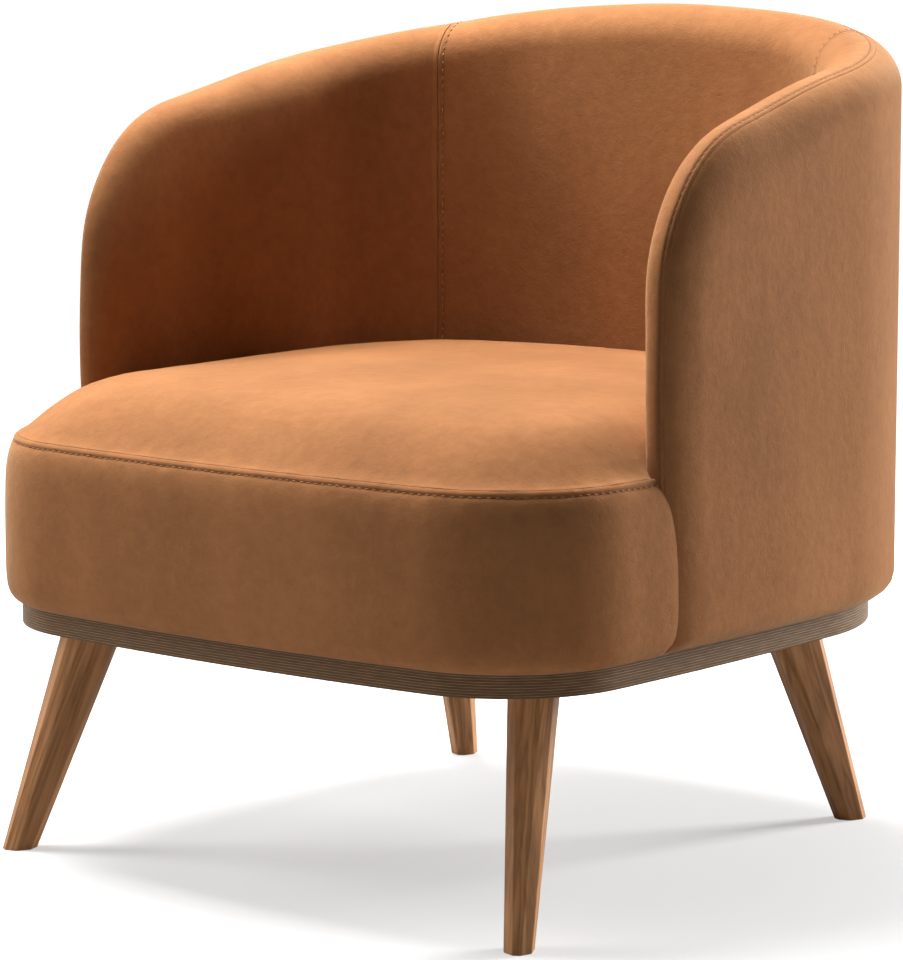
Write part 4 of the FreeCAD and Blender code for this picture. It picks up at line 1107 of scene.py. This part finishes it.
# The pieces inside keep their solids and get a look of their own.
hidden = {
    "raw_plywood": plain_material("raw_plywood", (0.5, 0.34, 0.19), (0.66, 0.48, 0.29), 40.0, 0.6, (1, 1, 9)),
    "beech_dowel": plain_material("beech", (0.50, 0.32, 0.18), (0.62, 0.42, 0.26), 90.0, 0.55, (1, 1, 0.2)),
    "bent_board": plain_material("fibreboard", (0.22, 0.13, 0.07), (0.34, 0.22, 0.13), 400.0, 0.7),
    "zinc_steel": plain_material("zinc_steel", (0.42, 0.43, 0.45), (0.6, 0.61, 0.63), 300.0, 0.35,
                                 metallic=1.0),
    "webbing": webbing_material(),
    "wadding": plain_material("wadding", (0.72, 0.72, 0.70), (0.86, 0.86, 0.84), 250.0, 0.95, bump=0.001),
    "foam": plain_material("foam", (0.66, 0.56, 0.34), (0.78, 0.70, 0.48), 500.0, 0.95, bump=0.0008),
}
for entry in frame["record"]["subparts"]:
    node = frame["nodes"][entry["node"]]
    if entry["material_slot"] in hidden:
        give(node, hidden[entry["material_slot"]])


# Floor, light and camera, in metres.
FLOOR_HALF = 90.0
WORLD_LIGHT = 0.07
LAMP_AIM = Vector((0, 0, 0.4))


def make_floor():
    """A pale floor that keeps the shadow near the chair and turns white farther out."""
    mesh = bpy.data.meshes.new("floor")
    corners = [(a * FLOOR_HALF, b * FLOOR_HALF, 0) for a, b in ((-1, -1), (1, -1), (1, 1), (-1, 1))]
    mesh.from_pydata(corners, [], [(0, 1, 2, 3)])
    floor = bpy.data.objects.new("floor", mesh)
    bpy.context.scene.collection.objects.link(floor)
    material, nodes, links, shader = new_material("pale_floor")
    shader.inputs["Base Color"].default_value = (0.44, 0.44, 0.44, 1)
    shader.inputs["Roughness"].default_value = 0.9
    shader.inputs["Specular IOR Level"].default_value = 0.1
    path = nodes.new("ShaderNodeLightPath")
    glow = nodes.new("ShaderNodeEmission")
    glow.inputs["Color"].default_value = (1, 1, 1, 1)
    coordinates = nodes.new("ShaderNodeTexCoord")
    length = nodes.new("ShaderNodeVectorMath")
    length.operation = "LENGTH"
    links.new(coordinates.outputs["Object"], length.inputs[0])
    far = range_node(nodes, links, length.outputs["Value"], (0.3, 2.2), (0.45, 1.0))
    strength = math_node(nodes, links, "MULTIPLY", path.outputs["Is Camera Ray"], far)
    links.new(strength, glow.inputs["Strength"])
    both = nodes.new("ShaderNodeAddShader")
    links.new(shader.outputs["BSDF"], both.inputs[0])
    links.new(glow.outputs["Emission"], both.inputs[1])
    links.new(both.outputs["Shader"], nodes["Material Output"].inputs["Surface"])
    mesh.materials.append(material)


def make_world():
    """White where it is seen, reflected or seen through, and a faint even light otherwise."""
    world = bpy.data.worlds.new("studio")
    bpy.context.scene.world = world
    world.use_nodes = True
    nodes = world.node_tree.nodes
    links = world.node_tree.links
    background = nodes["Background"]
    background.inputs["Color"].default_value = (1, 1, 1, 1)
    path = nodes.new("ShaderNodeLightPath")
    seen = math_node(nodes, links, "MAXIMUM", path.outputs["Is Camera Ray"], path.outputs["Is Glossy Ray"])
    seen = math_node(nodes, links, "MAXIMUM", seen, path.outputs["Is Transmission Ray"])
    seen = math_node(nodes, links, "MULTIPLY", seen, 1 - WORLD_LIGHT)
    strength = math_node(nodes, links, "ADD", seen, WORLD_LIGHT)
    links.new(strength, background.inputs["Strength"])


def add_lamp(name, place, wide, high, power):
    data = bpy.data.lights.new(name, "AREA")
    data.shape = "RECTANGLE"
    data.size = wide
    data.size_y = high
    data.energy = power
    lamp = bpy.data.objects.new(name, data)
    lamp.location = place
    lamp.rotation_euler = (LAMP_AIM - Vector(place)).to_track_quat("-Z", "Y").to_euler()
    bpy.context.scene.collection.objects.link(lamp)


def make_camera():
    data = bpy.data.cameras.new("camera")
    data.lens = 147.27
    data.sensor_width = 36
    data.shift_x = -0.0144
    data.clip_start = 0.1
    data.clip_end = 100
    camera = bpy.data.objects.new("camera", data)
    camera.location = (2.2307, -2.7763, 0.8424)
    camera.rotation_euler = (math.radians(90 - 8.14), 0, math.radians(38.86))
    bpy.context.scene.collection.objects.link(camera)
    bpy.context.scene.camera = camera


make_floor()
make_world()
add_lamp("top", (-0.7, 0.1, 2.5), 1.5, 1.5, 164)
add_lamp("left", (-2.6, -1.35, 1.9), 1.2, 1.6, 74)
add_lamp("right", (1.55, 3.05, 1.3), 1.2, 1.6, 215)
make_camera()
bpy.context.scene.view_settings.view_transform = "Standard"
